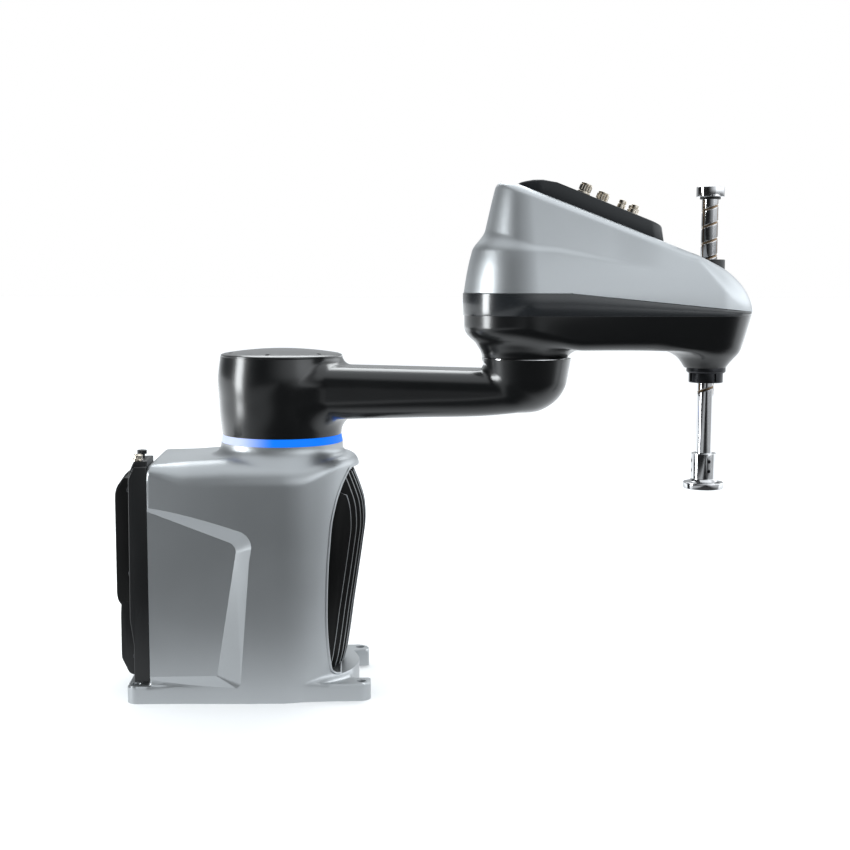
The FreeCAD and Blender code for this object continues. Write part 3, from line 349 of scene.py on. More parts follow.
RINGS = (0.25, 0.25, 4.0)
EVEN = (1.0, 1.0, 1.0)
finishes = {
    "silver_paint": metallic_paint("silver_paint", 0.47, 0.4, 0.93),
    "silver_plastic": metallic_paint("silver_plastic", 0.56, 0.4, 0.93),
    "black_paint": satin_paint("black_paint", 0.0026, 0.3, 1.0),
    "black_anodised": anodised("black_anodised", 0.0035),
    "black_plastic": moulded("black_plastic", 0.004, 0.36),
    "band_plastic": moulded("band_plastic", 0.012, 0.24, 0.02, 0.9),
    "panel_plastic": moulded("panel_plastic", 0.012, 0.3, 0.02),
    "blue_light": light_guide("blue_light"),
    "ground_steel": machined("ground_steel", (0.72, 0.72, 0.73), 0.1, RINGS, 0.003),
    "dark_steel": machined("dark_steel", (0.045, 0.046, 0.05), 0.34, EVEN),
    "nickel_brass": machined("nickel_brass", (0.74, 0.67, 0.57), 0.15, RINGS, 0.003),
    # The front edges of the fins: a lighter metal as a painted highlight.
    "painted_fin_highlight": machined("painted_fin_highlight", (0.3, 0.31, 0.32), 0.3, EVEN),
    "oiled_groove": machined("oiled_groove", (0.23, 0.16, 0.1), 0.3, EVEN),
    "circuit_board": board("circuit_board"),
    "belt_rubber": moulded("belt_rubber", 0.02, 0.7, 0.12),
    "motor_grey": moulded("motor_grey", 0.06, 0.45, 0.06),
}

# %% [markdown]
# ## Mesh helpers
#
# Outlines are short lists of corners, each with its own radius. A prism raises an outline, a turned
# piece spins one about an upright axis, and `put` turns a finished mesh into a piece that rides on
# its body and stands for its CAD nodes.

# %% Mesh helpers
ARC_STEPS = 6
ROUND_STEPS = 96
SHARP_ANGLE = math.radians(32)
CREASE_ANGLE = math.radians(11)
SIDE = Matrix.Rotation(math.radians(90), 4, "X")
MIRROR = Matrix.Scale(-1, 4, (0, 1, 0))
FRONT = Matrix(((0, 0, 1, 0), (1, 0, 0, 0), (0, 1, 0, 0), (0, 0, 0, 1)))


def arcs(corners, closed=True, steps=ARC_STEPS):
    """Points along an outline of (u, v) or (u, v, radius) corners."""
    points = []
    last = len(corners) - 1
    for index, corner in enumerate(corners):
        here = Vector(corner[:2])
        if len(corner) < 3 or (not closed and index in (0, last)):
            points.append(here)
            continue
        before = (Vector(corners[index - 1][:2]) - here).normalized()
        after = (Vector(corners[(index + 1) % len(corners)][:2]) - here).normalized()
        half = before.angle(after) / 2
        run = corner[2] / math.tan(half)
        centre = here + (before + after).normalized() * (corner[2] / math.sin(half))
        start = here + before * run - centre
        turn = start.angle_signed(here + after * run - centre)
        for step in range(steps + 1):
            angle = -turn * step / steps
            points.append(centre + Matrix.Rotation(angle, 2) @ start)
    return points


def prism(points, low, high, view=None):
    """A closed outline raised from one height to another, upright or in side or front view."""
    bm = bmesh.new()
    ring = [bm.verts.new((u, v, low)) for u, v in points]
    face = bm.faces.new(ring)
    raised = bmesh.ops.extrude_face_region(bm, geom=[face])["geom"]
    moving = [item for item in raised if isinstance(item, bmesh.types.BMVert)]
    bmesh.ops.translate(bm, vec=(0, 0, high - low), verts=moving)
    if view is not None:
        bmesh.ops.transform(bm, matrix=view, verts=bm.verts)
    bmesh.ops.recalc_face_normals(bm, faces=bm.faces)
    return bm


def drafted(inner, outer, low, high, view=None):
    """A form between two outlines of as many points, each at its own height."""
    bm = prism(inner, low, high)
    raised = [vert for vert in bm.verts if vert.co.z > (low + high) / 2]
    for vert in raised:
        nearest = min(range(len(inner)), key=lambda index: (Vector(inner[index]) - vert.co.xy).length)
        vert.co.x, vert.co.y = outer[nearest]
    if view is not None:
        bmesh.ops.transform(bm, matrix=view, verts=bm.verts)
    return bm


def tube(path, radius, steps=10):
    """A round bead along a closed path."""
    bm = bmesh.new()
    rings = []
    for index, spot in enumerate(path):
        along = (path[(index + 1) % len(path)] - path[index - 1]).normalized()
        out = along.cross(Vector((1, 0, 0))).normalized()
        up = along.cross(out)
        angles = [math.tau * step / steps for step in range(steps)]
        rings.append([bm.verts.new(spot + radius * (math.cos(a) * out + math.sin(a) * up)) for a in angles])
    for index, ring in enumerate(rings):
        following = rings[(index + 1) % len(rings)]
        for step in range(steps):
            beside = (step + 1) % steps
            bm.faces.new((ring[step], ring[beside], following[beside], following[step]))
    bmesh.ops.recalc_face_normals(bm, faces=bm.faces)
    return bm


def turned(points, steps=ROUND_STEPS, closed=True):
    """An outline in (radius, height), spun about the upright axis."""
    bm = bmesh.new()
    ring = [bm.verts.new((u, 0, v)) for u, v in points]
    pairs = list(zip(ring, ring[1:]))
    if closed:
        pairs.append((ring[-1], ring[0]))
    edges = [bm.edges.new(pair) for pair in pairs]
    bmesh.ops.spin(
        bm, geom=ring + edges, cent=(0, 0, 0), axis=(0, 0, 1), angle=math.tau, steps=steps, use_merge=True
    )
    bmesh.ops.remove_doubles(bm, verts=bm.verts, dist=0.001)
    bmesh.ops.recalc_face_normals(bm, faces=bm.faces)
    return bm


def rod(radius, low, high, steps=ROUND_STEPS):
    """A plain upright cylinder."""
    return turned([(0, low), (radius, low), (radius, high), (0, high)], steps, False)


def spun(corners, steps=ROUND_STEPS):
    """A turned piece from corners that begin and end on its axis."""
    return turned(arcs(corners, False), steps, False)


def both_sides(right):
    """An outline from the corners of its right half."""
    return right + [(-corner[0],) + corner[1:] for corner in reversed(right)]


def softened(bm, width, segments=3, angle=40):
    """Round the sharp edges of a mesh."""
    sharp = [edge for edge in bm.edges if edge.is_manifold and edge.calc_face_angle(0) > math.radians(angle)]
    bmesh.ops.bevel(
        bm, geom=sharp, offset=width, offset_type="OFFSET", segments=segments, profile=0.5,
        affect="EDGES", clamp_overlap=True, material=-1,
    )
    return bm


def merged(*meshes):
    """Several meshes in one."""
    whole = bmesh.new()
    for bm in meshes:
        held = bpy.data.meshes.new("held")
        bm.to_mesh(held)
        bm.free()
        whole.from_mesh(held)
        bpy.data.meshes.remove(held)
    return whole


def moved(bm, x=0, y=0, z=0, turn=None):
    """Turn a mesh and move it."""
    if turn is not None:
        bmesh.ops.transform(bm, matrix=turn, verts=bm.verts)
    bmesh.ops.translate(bm, vec=(x, y, z), verts=bm.verts)
    return bm


def about(axis, degrees):
    """A turn about one of the axes."""
    return Matrix.Rotation(math.radians(degrees), 4, axis)


def at_elbow(bm):
    """Move a mesh that was drawn about the elbow axis into place."""
    return moved(bm, elbow.x, elbow.y)


def at_quill(bm):
    """Move a mesh that was drawn about the quill axis into place."""
    return moved(bm, quill_axis.x, quill_axis.y)


def round_mm(node):
    """The radius, foot and top of a round CAD node."""
    low, high = box_mm(node)
    return (high.x - low.x) / 2, low.z, high.z


def held_object(bm):
    """A mesh as a passing object, for a modifier to work on."""
    mesh = bpy.data.meshes.new("held")
    bm.to_mesh(mesh)
    bm.free()
    return added("held", mesh)


def worked(holder, others=()):
    """The mesh of a passing object with its modifiers in it. The passing objects go."""
    bpy.context.view_layer.update()
    evaluated = holder.evaluated_get(bpy.context.evaluated_depsgraph_get())
    bm = bmesh.new()
    mesh = bpy.data.meshes.new_from_object(evaluated)
    bm.from_mesh(mesh)
    bpy.data.meshes.remove(mesh)
    for passing in (holder,) + tuple(others):
        data = passing.data
        bpy.data.objects.remove(passing)
        bpy.data.meshes.remove(data)
    return bm


def cut(bm, *tools):
    """Take the tool meshes out of a mesh."""
    holder = held_object(bm)
    cutters = [held_object(tool) for tool in tools]
    for cutter in cutters:
        modifier = holder.modifiers.new("cut", "BOOLEAN")
        modifier.operation = "DIFFERENCE"
        modifier.solver = "EXACT"
        modifier.object = cutter
    return worked(holder, cutters)


def put(bm, name, body, slot, *replaced, finish=None, creased=None):
    """Make a piece of a mesh in millimetres. Where `creased` says so, low edges stay crisp too."""
    crisp = []
    if creased is not None:
        bm.edges.index_update()
        for edge in bm.edges:
            if edge.is_manifold and edge.calc_face_angle(0) > CREASE_ANGLE:
                if creased((edge.verts[0].co + edge.verts[1].co) / 2):
                    crisp.append(edge.index)
    bmesh.ops.scale(bm, vec=(MM, MM, MM), verts=bm.verts)
    mesh = bpy.data.meshes.new(name)
    bm.to_mesh(mesh)
    bm.free()
    mesh.shade_smooth()
    mesh.set_sharp_from_angle(angle=SHARP_ANGLE)
    for index in crisp:
        mesh.edges[index].use_edge_sharp = True
    piece = added(name, mesh)
    mesh.materials.append(finishes[finish or slot])
    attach(piece, body)
    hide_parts(*replaced)
    print(name, len(mesh.polygons), "faces")
    return piece


# %% [markdown]
# ## Cast and moulded skins
#
# The castings flow from one form into the next with fillets that change along the way. Such a skin is
# described by a field: a function that is negative inside, zero on the surface and positive outside.
# A rough stand-in of the shape is remeshed into even quads, and its points then slide onto the zero of
# the field while the mesh is smoothed, so reflections run evenly over it.


# %% Cast and moulded skins
def round_join(first, second, radius):
    """The union of two fields, with a fillet in the corner between them."""
    reach = np.hypot(np.maximum(radius - first, 0), np.maximum(radius - second, 0))
    return np.maximum(radius, np.minimum(first, second)) - reach


def round_meet(first, second, radius):
    """What two fields have in common, with a rounded edge."""
    reach = np.hypot(np.maximum(radius + first, 0), np.maximum(radius + second, 0))
    return np.minimum(-radius, np.maximum(first, second)) + reach


def slope(value, low, high):
    """A smooth step from 0 to 1."""
    t = np.clip((value - low) / (high - low), 0, 1)
    return t * t * (3 - 2 * t)


def curve(points):
    """A smooth function of height through (height, value) points."""
    heights = np.array([point[0] for point in points], float)
    values = np.array([point[1] for point in points], float)
    slopes = np.gradient(values, heights)

    def at(height):
        inside = np.clip(height, heights[0], heights[-1])
        index = np.clip(np.searchsorted(heights, inside) - 1, 0, len(heights) - 2)
        gap = heights[index + 1] - heights[index]
        t = (inside - heights[index]) / gap
        t2 = t * t
        t3 = t2 * t
        first = (2 * t3 - 3 * t2 + 1) * values[index] + (t3 - 2 * t2 + t) * gap * slopes[index]
        second = (3 * t2 - 2 * t3) * values[index + 1] + (t3 - t2) * gap * slopes[index + 1]
        beyond = height - inside
        ends = np.where(beyond < 0, slopes[0], slopes[-1]) * beyond
        return first + second + ends

    return at


STEP = 0.02
PULLS = 3
LONGEST_MOVE = 6.0
FLATTEST = 0.25
SPARE = 4.0


def settle(bm, field, passes, factor=0.5):
    """Smooth a mesh and slide its points onto the zero of a field, a few times."""
    for _ in range(passes):
        bmesh.ops.smooth_vert(
            bm, verts=bm.verts, factor=factor, use_axis_x=True, use_axis_y=True, use_axis_z=True
        )
        place = np.array([vert.co for vert in bm.verts], float)
        for _ in range(PULLS):
            x, y, z = place.T
            value = field(x, y, z)
            pull = np.stack((
                field(x + STEP, y, z) - value, field(x, y + STEP, z) - value, field(x, y, z + STEP) - value
            ), 1) / STEP
            size = np.maximum((pull ** 2).sum(1), FLATTEST)
            move = -(value / size)[:, None] * pull
            reach = np.linalg.norm(move, axis=1)
            place += move * (np.minimum(reach, LONGEST_MOVE) / np.maximum(reach, 1e-9))[:, None]
        for vert, spot in zip(bm.verts, place):
            vert.co = spot
    return bm


def skin(seeds, field, grid, passes=5):
    """An even mesh on the zero of a field, grown from a rough stand-in."""
    for size, rounds in ((grid * 1.6, 4), (grid, passes)):
        holder = held_object(seeds)
        modifier = holder.modifiers.new("grid", "REMESH")
        modifier.mode = "VOXEL"
        modifier.voxel_size = size
        seeds = settle(worked(holder), field, rounds)
    bmesh.ops.recalc_face_normals(seeds, faces=seeds.faces)
    return seeds


def trimmed(bm, height, keep="below", where=None, direction=(0, 0, 1), capped=True):
    """Cut a mesh flat at a height along a direction, and close the cut if asked."""
    faces = [face for face in bm.faces if where is None or where(face.calc_center_median())]
    parts = set(faces)
    for face in faces:
        parts.update(face.edges)
        parts.update(face.verts)
    done = bmesh.ops.bisect_plane(
        bm, geom=list(parts), dist=0.001, plane_co=Vector(direction) * height, plane_no=direction,
        clear_outer=keep == "below", clear_inner=keep == "above",
    )
    if capped:
        rim = [item for item in done["geom_cut"] if isinstance(item, bmesh.types.BMEdge)]
        bmesh.ops.holes_fill(bm, edges=rim, sides=0)
        bmesh.ops.recalc_face_normals(bm, faces=bm.faces)
    return bm


# %% [markdown]
# ## Base casting
#
# The casting is a tall prism in plan, round at the front, with a rolled top edge that runs up into the
# neck. Its soft skin comes from a field. The crisp shapes are cut into it afterwards: on each side
# a shallow pocket with sloping margins, and in front a tall opening for the heat sink, round which a
# fine bead runs. The foot reaches out behind, and in front as two lugs.

# %% Base casting
base_low, base_high = box_mm("base_casting")
neck_top = base_high.z
base_top = neck_top - 15.0
top_fall = 0.06
front_radius = 100.0
side_sweep = 1349.8
rear_plane = -164.0
foot_top = 22.0
foot_half = 94.0
foot_round = 14.0
lug_inside = 64.0
notch_back = 90.0
bolt_radius = 5.5
bolt_lines = (-182.0, 102.0)
bolt_aside = 80.0
neck_radius = 79.0
neck_hole = 70.0
pocket_floor = 87.5
opening_low = 28.0
opening_high = 292.0
opening_low_half = 76.0
tunnel_back = 52.0
lip_radius = 1.9
lip_sink = 0.6
# the side pocket in (x, z, radius): its floor, and its rim drawn out to just past the side
POCKET_FLOOR = ((-230.0, 33.1), (-80.3, 33.1, 1.5), (-53.5, 200.2, 13.0), (-230.0, 269.9))
POCKET_RIM = ((-230.0, 18.4), (-45.1, 18.4, 7.0), (-31.3, 216.0, 24.0), (-230.0, 297.5))
pocket_reach = 101.0
ARCH_HALF = (
    (opening_low, 77.0), (84.0, 81.0), (144.0, 81.0), (192.0, 79.0), (239.0, 74.0), (265.0, 66.5),
    (282.0, 57.0), (opening_high, 46.0),
)
arch_half = curve(ARCH_HALF)


def base_plan(x, y):
    """Distance outside the base in plan."""
    front = np.hypot(x, y) - front_radius
    side = np.hypot(x, np.abs(y) + side_sweep - front_radius) - side_sweep
    return np.where(x > 0, front, side)


def foot_field(x, y, z):
    """The foot plate, with a notch between its two front lugs."""
    inner_x = np.maximum(base_low.x + foot_round - x, x - (base_high.x - foot_round))
    inner_y = np.abs(y) - (foot_half - foot_round)
    plan = np.minimum(np.maximum(inner_x, inner_y), 0) - foot_round
    plan += np.hypot(np.maximum(inner_x, 0), np.maximum(inner_y, 0))
    notch = round_meet(notch_back - x, np.abs(y) - lug_inside, 5.0)
    plan = round_meet(plan, -notch, 2.0)
    return round_meet(plan, z - foot_top, 1.5)


def base_field(x, y, z):
    """The whole casting, before its openings are cut."""
    plan = base_plan(x, y)
    top = z - base_top + top_fall * np.maximum(-66.0 - x, 0)
    body = round_meet(plan, top, 32.0 - 17.0 * slope(x, 20.0, 80.0) - 18.0 * slope(-x, 110.0, 165.0))
    neck = round_meet(np.hypot(x, y) - neck_radius, z - neck_top - SPARE, 1.0)
    body = round_join(body, neck, 14.0 - 5.0 * slope(x, 20.0, 80.0))
    body = round_meet(body, rear_plane - x, 2.0 + 4.0 * slope(z, 278.0, 300.0))
    body = round_join(body, foot_field(x, y, z), 4.0 + 7.0 * slope(x, 25.0, 60.0))
    return round_meet(body, -SPARE - z, 1.0)


def base_outline(out):
    """The base in plan, as points, moved out by some distance."""
    radius = front_radius + out
    angles = np.linspace(-math.pi / 2, math.pi / 2, 25)
    front = [(radius * math.cos(a), radius * math.sin(a)) for a in angles]
    return front + [(rear_plane, 90.0 + out), (rear_plane, -90.0 - out)]


base_seed = prism(base_outline(1.0), -4.0, base_top)
foot_plan = [
    (base_low.x, -foot_half, foot_round), (base_high.x, -foot_half, foot_round),
    (base_high.x, -lug_inside), (notch_back, -lug_inside), (notch_back, lug_inside),
    (base_high.x, lug_inside), (base_high.x, foot_half, foot_round), (base_low.x, foot_half, foot_round),
]
base_seed = merged(
    base_seed, rod(neck_radius, 200, neck_top + 5), prism(arcs(foot_plan), -4.0, foot_top)
)
base = skin(base_seed, base_field, 2.3)
trimmed(base, neck_top)
trimmed(base, 0.0, keep="above")
room_plan = [(-148, -78, 8), (46, -78, 8), (46, 78, 8), (-148, 78, 8)]
base_room = prism(arcs(room_plan), 14.0, base_top - 20.0)
neck_bore = rod(neck_hole, base_top - 30, neck_top + 5)
bolt_line = [
    (0, -5), (bolt_radius, -5), (bolt_radius, foot_top - 0.8), (6.3, foot_top + 3), (0, foot_top + 3),
]
bolt_holes = []
for bolt_x in bolt_lines:
    for bolt_y in (-bolt_aside, bolt_aside):
        bolt_holes.append(moved(turned(bolt_line, 32, False), bolt_x, bolt_y))
pocket_floor_line = arcs(POCKET_FLOOR, steps=8)
pocket_rim_line = arcs(POCKET_RIM, steps=8)
near_pocket = drafted(pocket_floor_line, pocket_rim_line, pocket_floor, pocket_reach, SIDE)
far_pocket = drafted(pocket_floor_line, pocket_rim_line, pocket_floor, pocket_reach, SIDE)
moved(far_pocket, turn=MIRROR)
bmesh.ops.reverse_faces(far_pocket, faces=far_pocket.faces)
arch_right = [(opening_low_half, opening_low, 12.0)]
arch_right += [(float(arch_half(z)), float(z)) for z in np.linspace(52.0, 280.0, 40)]
arch_right += [(49.0, opening_high, 8.0)]
arch_line = arcs(both_sides(arch_right), steps=8)
tunnel = prism(arch_line, tunnel_back, 130.0, FRONT)
lip_path = [Vector((math.sqrt(front_radius ** 2 - y * y) - lip_sink, y, z)) for y, z in arch_line]
base = cut(base, base_room, neck_bore, tunnel, near_pocket, far_pocket, *bolt_holes)


def at_pocket(spot):
    """Whether a point is by the rim or the floor of a side pocket."""
    return spot.x < -28 and 24 > abs(spot.y) - 76 > 10 and 21 < spot.z < 256


base = merged(base, tube(lip_path, lip_radius))
put(base, "base_shell", "base", "silver_paint", "base_casting", creased=at_pocket)

# %% [markdown]
# ## Front heat sink
#
# A black extrusion fills the arch: a back plate with eleven upright fins. Their front edge follows the
# belly of the base, and the outer ones stand further back. Each fin is a side outline with thickness.
# The small bevels round its front edge get a lighter metal finish of their own: a painted highlight of the
# left soft box.

# %% Front heat sink
sink_low, sink_high = box_mm("front_heat_sink")
FIN_FRONT = (
    (30.0, 80.0), (46.0, 84.5), (64.5, 87.6), (113.0, 94.3), (158.0, 101.0), (186.0, 105.0), (225.0, 109.0),
    (250.0, 106.5), (267.0, 101.0), (285.0, 94.0),
)
fin_front = curve(FIN_FRONT)
fin_pitch = 13.0
fin_count = 11
fin_thickness = 2.6
fin_bevel = 0.9
fin_belly = 218.0
sink_plate = sink_low.x + 8.0


def sink_fin(y):
    """One fin, as high as the arch is there."""
    heights = np.linspace(sink_low.z + 1.5, sink_high.z - 4.0, 60)
    inside = heights[(arch_half(heights) - abs(y)) > 3.0]
    drop = y * y / fin_belly
    front = [(float(fin_front(z)) - drop, float(z)) for z in inside]
    root = sink_plate - 1.0
    top = front[-1][1] + 3.0
    outline = [(root, front[0][1])] + front + [(front[-1][0] - 7.0, top), (root, top)]
    fin = prism(outline, -y - fin_thickness / 2, -y + fin_thickness / 2, SIDE)
    softened(fin, fin_bevel, 2, 60)
    for face in fin.faces:
        # The front edge bevels take the second finish, a painted highlight.
        if face.normal.x > 0.2 and abs(face.normal.y) > 0.2:
            face.material_index = 1
    return fin


plate_side = [(y - 1.0, z) for z, y in ARCH_HALF[1:-1]]
plate_right = [(ARCH_HALF[0][1] - 3, sink_low.z, 9)] + plate_side + [(ARCH_HALF[-1][1] - 6, sink_high.z)]
sink = prism(arcs(both_sides(plate_right)), sink_low.x, sink_plate, FRONT)
fins = [sink_fin((index - (fin_count - 1) / 2) * fin_pitch) for index in range(fin_count)]
sink = merged(softened(sink, 0.5), *fins)
arch_sink = put(sink, "arch_heat_sink", "base", "black_anodised", "front_heat_sink")
# Second finish: the painted highlight along the fins' front edges.
arch_sink.data.materials.append(finishes["painted_fin_highlight"])

# %% [markdown]
# ## Rear panel
#
# The back of the base is closed by a black frame. Its upper half carries a crowned block of upright
# fins and its lower half a smooth cover. Two small fittings stand on its top edge, and six screws
# hold it. Only the side of all this shows in the photograph.


# %% Rear panel
def hex_screw(radius, height, socket):
    """A screw head standing on z = 0, with a rounded edge and a hexagon socket."""
    head = spun([(0, 0), (radius, 0), (radius, height, radius * 0.35), (0, height)], 32)
    corners = [(socket * math.cos(a), socket * math.sin(a)) for a in np.arange(6) * math.pi / 3]
    return cut(head, prism(corners, height * 0.45, height + 1))


def side_form(corners, low, high, rounding, segments=3):
    """A side outline with a thickness across, and softened edges."""
    return softened(prism(arcs(corners), low, high, SIDE), rounding, segments, 50)


frame_low, frame_high = box_mm("rear_frame")
frame_rounding = 1.4
foot_depth = -183.6
near_end = 78.0
middle_end = 22.0
near_step = 6.5
far_step = 22.0
frame_foot = [(frame_low.x, 107, 8), (foot_depth, 74, 8), (foot_depth, frame_low.z)]
frame_outline = [
    (frame_high.x, frame_low.z), (frame_high.x, frame_high.z), (-180.5, frame_high.z - 0.5, 3),
    (-187.0, 291, 5),
] + frame_foot
near_outline = [(u, v - near_step if v > 280 else v, *rounding) for u, v, *rounding in frame_outline]
far_outline = [
    (frame_high.x, frame_low.z), (frame_high.x, frame_high.z - far_step),
    (-186.0, frame_high.z - far_step, 6),
] + frame_foot
rear = merged(
    side_form(near_outline, near_end, -frame_low.y, frame_rounding),
    side_form(frame_outline, middle_end, near_end + 1, frame_rounding),
    side_form(far_outline, -frame_high.y, middle_end + 1, frame_rounding),
)
put(rear, "rear_panel", "base", "black_plastic", "rear_frame")

block_low, block_high = box_mm("rear_heat_sink")
BLOCK_SIDE = ((-195.5, 283.0, 3), (-206.0, 262.0, 26), (-206.0, 126.0, 18), (-192.0, 112.2, 6))
rear_fins = 17
rear_fin_half = 1.4
block_crown = 7.8


def crowned(outline, y):
    """The side outline of the finned block, standing further out in the middle."""
    crown = block_crown * (1 - (y / block_high.y) ** 2)
    return [(u - crown * min(1.0, (-188.0 - u) / 14.0), v) for u, v in outline]


block_outline = arcs([(-187.0, 112.2), (-187.0, 283.0), *BLOCK_SIDE])
pieces = []
for index in range(rear_fins):
    y = (index / (rear_fins - 1) * 2 - 1) * (block_high.y - 1.5)
    fin = prism(crowned(block_outline, y), -y - rear_fin_half, -y + rear_fin_half, SIDE)
    pieces.append(softened(fin, 0.5, 2, 60))
core = [(u + 9.0 if u < -196 else u, v) for u, v in block_outline]
pieces.append(prism(core, block_low.y + 1, block_high.y - 1, SIDE))
put(merged(*pieces), "rear_fins", "base", "black_anodised", "rear_heat_sink")

lower_low, lower_high = box_mm("rear_lower_cover")
lower_top = lower_high.z + 16
lower_outline = [
    (lower_high.x, lower_low.z), (lower_high.x, lower_top), (lower_low.x + 1, lower_top, 1.5),
    (lower_low.x, lower_high.z - 2, 30), (lower_low.x, 52, 16), (-192.0, lower_low.z, 8),
]
lower = side_form(lower_outline, lower_low.y, lower_high.y, 2.0, 4)
put(lower, "rear_smooth_cover", "base", "black_plastic", "rear_lower_cover")

screws = []
screw_aside = 77.0
upper_depth = -187.6
for z, foot_x in ((58.0, foot_depth), (164.0, upper_depth), (270.0, upper_depth)):
    for y in (-screw_aside, screw_aside):
        screws.append(moved(hex_screw(3.2, 2.4, 1.6), foot_x + 0.3, y, z, turn=about("Y", -90)))
put(merged(*screws), "rear_panel_screws", "base", "dark_steel", "rear_frame_screws")


def knurled(radius, low, high, count, depth, edge=0.6):
    """An upright grip with grooves round it and a softened rim."""
    points = []
    for index in range(count * 4):
        angle = math.tau * index / (count * 4)
        level = radius - (depth if index % 4 in (0, 1) else 0.0)
        points.append((level * math.cos(angle), level * math.sin(angle)))
    bm = prism(points, low, high)
    caps = [face for face in bm.faces if len(face.verts) > 4 and face.normal.z > 0.5]
    inner = bmesh.ops.inset_region(bm, faces=caps, thickness=edge)
    bmesh.ops.translate(bm, vec=(0, 0, edge * 0.6), verts=list({v for face in caps for v in face.verts}))
    return bm


def fitting_mm(node):
    """The foot, radius and height of a small upright fitting."""
    low, high = box_mm(node)
    centre = (low + high) / 2
    return (centre.x, centre.y, low.z), (high.y - low.y) / 2, high.z - low.z


foot, radius, tall = fitting_mm("encoder_connector")
plug_line = [
    (0, 0), (radius, 0), (radius, 2.2, 0.5), (radius * 0.7, 2.2), (radius * 0.7, tall, 0.6), (0, tall),
]
plug = merged(spun(plug_line, 48), knurled(radius * 0.92, 2.4, tall - 1.2, 18, 0.3))
put(moved(plug, *foot), "rear_encoder_plug", "base", "nickel_brass", "encoder_connector")

foot, radius, tall = fitting_mm("brake_release_knob")
stem_line = [(0, 0), (radius * 0.6, 0), (radius * 0.6, tall - 1, 0.4), (0, tall - 1)]
grip = merged(knurled(radius, tall * 0.45, tall - 0.4, 22, 0.35), spun(stem_line, 48))
put(moved(grip, *foot), "rear_brake_knob", "base", "black_plastic", "brake_release_knob")

# %% [markdown]
# ## Status ring
#
# A blue light guide sits between the base and the drum. It leans in a little towards the top.

# %% Status ring
ring_low, ring_high = box_mm("light_ring")
ring_outer = ring_high.x
ring_inner = 70.0
ring_lean = 1.8
ring = [
    (ring_inner, ring_low.z), (ring_outer, ring_low.z, 0.8), (ring_outer - ring_lean, ring_high.z, 1.0),
    (ring_inner, ring_high.z),
]
put(turned(arcs(ring), 128), "status_ring", "base", "blue_light", "light_ring")

# %% [markdown]
# ## Inner link
#
# One casting holds the drum, the arm and the round bowl of the elbow. The drum has a slight belly, the
# arm tapers and rises towards the elbow, and wide fillets run from one into the other. It is described
# along the arm, with the shoulder axis at zero, and turned into place at the end. The ground ring of
# the elbow's reducer stands in the bowl and shows as a bright line in the gap over it.

# %% Inner link
link_low, link_high = box_mm("inner_link_casting")
cap_low, cap_high = box_mm("shoulder_cap")
drum_bottom = link_low.z
drum_top = cap_low.z
bowl_top = link_high.z
drum_half = curve(((drum_bottom, 77.2), (352.0, 79.6), (375.0, 81.0), (404.0, 82.3), (drum_top, 79.0)))
arm_top = 422.0
arm_half = 51.0
arm_taper = 2.0
arm_round = 24.0
arm_end = inner_length - 13.0
arm_bottom = curve(((60.0, 354.0), (95.0, 356.0), (200.0, 362.0), (290.0, 367.5), (330.0, 372.5)))
bowl_rim = 56.4
bowl_lean = 0.171
bowl_bottom = 371.0
drum_middle = 382.0
drum_reach = 54.0
drum_hole = 62.0


def drum_field(s, y, z):
    """The drum, with its slight belly."""
    return round_meet(np.hypot(s, y) - drum_half(z), np.abs(z - drum_middle) - drum_reach, 1.0)


def arm_field(s, y, z):
    """A bar with rounded edges, narrower and thinner towards the elbow."""
    bottom = arm_bottom(s)
    half = arm_half - arm_taper * np.clip(s / arm_end, 0, 1)
    plan = np.hypot(y, np.maximum(s - arm_end, 0) + np.maximum(-s, 0)) - half
    across = plan + arm_round
    upward = np.abs(z - (arm_top + bottom) / 2) - (arm_top - bottom) / 2 + arm_round
    corner = np.hypot(np.maximum(across, 0), np.maximum(upward, 0))
    return np.minimum(np.maximum(across, upward), 0) + corner - arm_round


def bowl_field(s, y, z):
    """The round bowl, which leans in towards its foot."""
    radius = np.hypot(s - inner_length, y)
    narrower = 4.5 * slope(inner_length - s, 5.0, 50.0)
    side = (radius - bowl_rim + narrower + bowl_lean * (bowl_top - z)) * 0.986
    bowl = round_meet(side, bowl_bottom + 0.05 * radius - z, 36.0)
    return round_meet(bowl, z - bowl_top - SPARE, 1.0)


def link_field(s, y, z):
    """Drum, arm and bowl, with a fillet in each corner between them."""
    at_drum = 18.0 - 8.0 * slope(z, 395.0, 415.0)
    at_bowl = 4.0 + 4.0 * slope(z, 400.0, 418.0)
    drum_and_arm = round_join(drum_field(s, y, z), arm_field(s, y, z), at_drum)
    return round_join(drum_and_arm, bowl_field(s, y, z), at_bowl)


bowl_line = [(0, 373), (32, 376), (50, 398), (56, bowl_top + 4), (0, bowl_top + 4)]
link_seed = merged(
    rod(80, drum_bottom - 4, drum_top + 4),
    prism([(20, -44), (inner_length, -40), (inner_length, 40), (20, 44)], 364.0, arm_top),
    moved(turned(bowl_line, closed=False), inner_length),
)
link = skin(link_seed, link_field, 2.0)
trimmed(link, drum_top, where=lambda spot: spot.x < 160)
trimmed(link, bowl_top)
trimmed(link, drum_bottom, keep="above")
drum_bore = rod(drum_hole, drum_bottom - 5, drum_top + 5)
seat_line = [(0, 392), (43, 392), (43, 428), (51.4, 428), (51.4, bowl_top + 5), (0, bowl_top + 5)]
link = cut(link, drum_bore, moved(turned(seat_line, closed=False), inner_length))
moved(link, turn=Matrix.Rotation(inner_turn, 4, "Z"))
put(link, "inner_link_shell", "inner_link", "black_paint", "inner_link_casting")

gear_rim, _, gear_top = round_mm("elbow_gear")
gear_bore = 18.0
gear_shoulder = 429.0
gear = turned(arcs([
    (gear_bore, 396.0), (42.0, 396.0), (42.0, gear_shoulder), (gear_rim, gear_shoulder),
    (gear_rim, gear_top, 0.3), (gear_bore, gear_top),
]))
put(at_elbow(gear), "elbow_gear_ring", "inner_link", "ground_steel", "elbow_gear")

# %% [markdown]
# ## Drum cap
#
# A shallow domed disc closes the drum. Six small screws sit in holes near its rim.

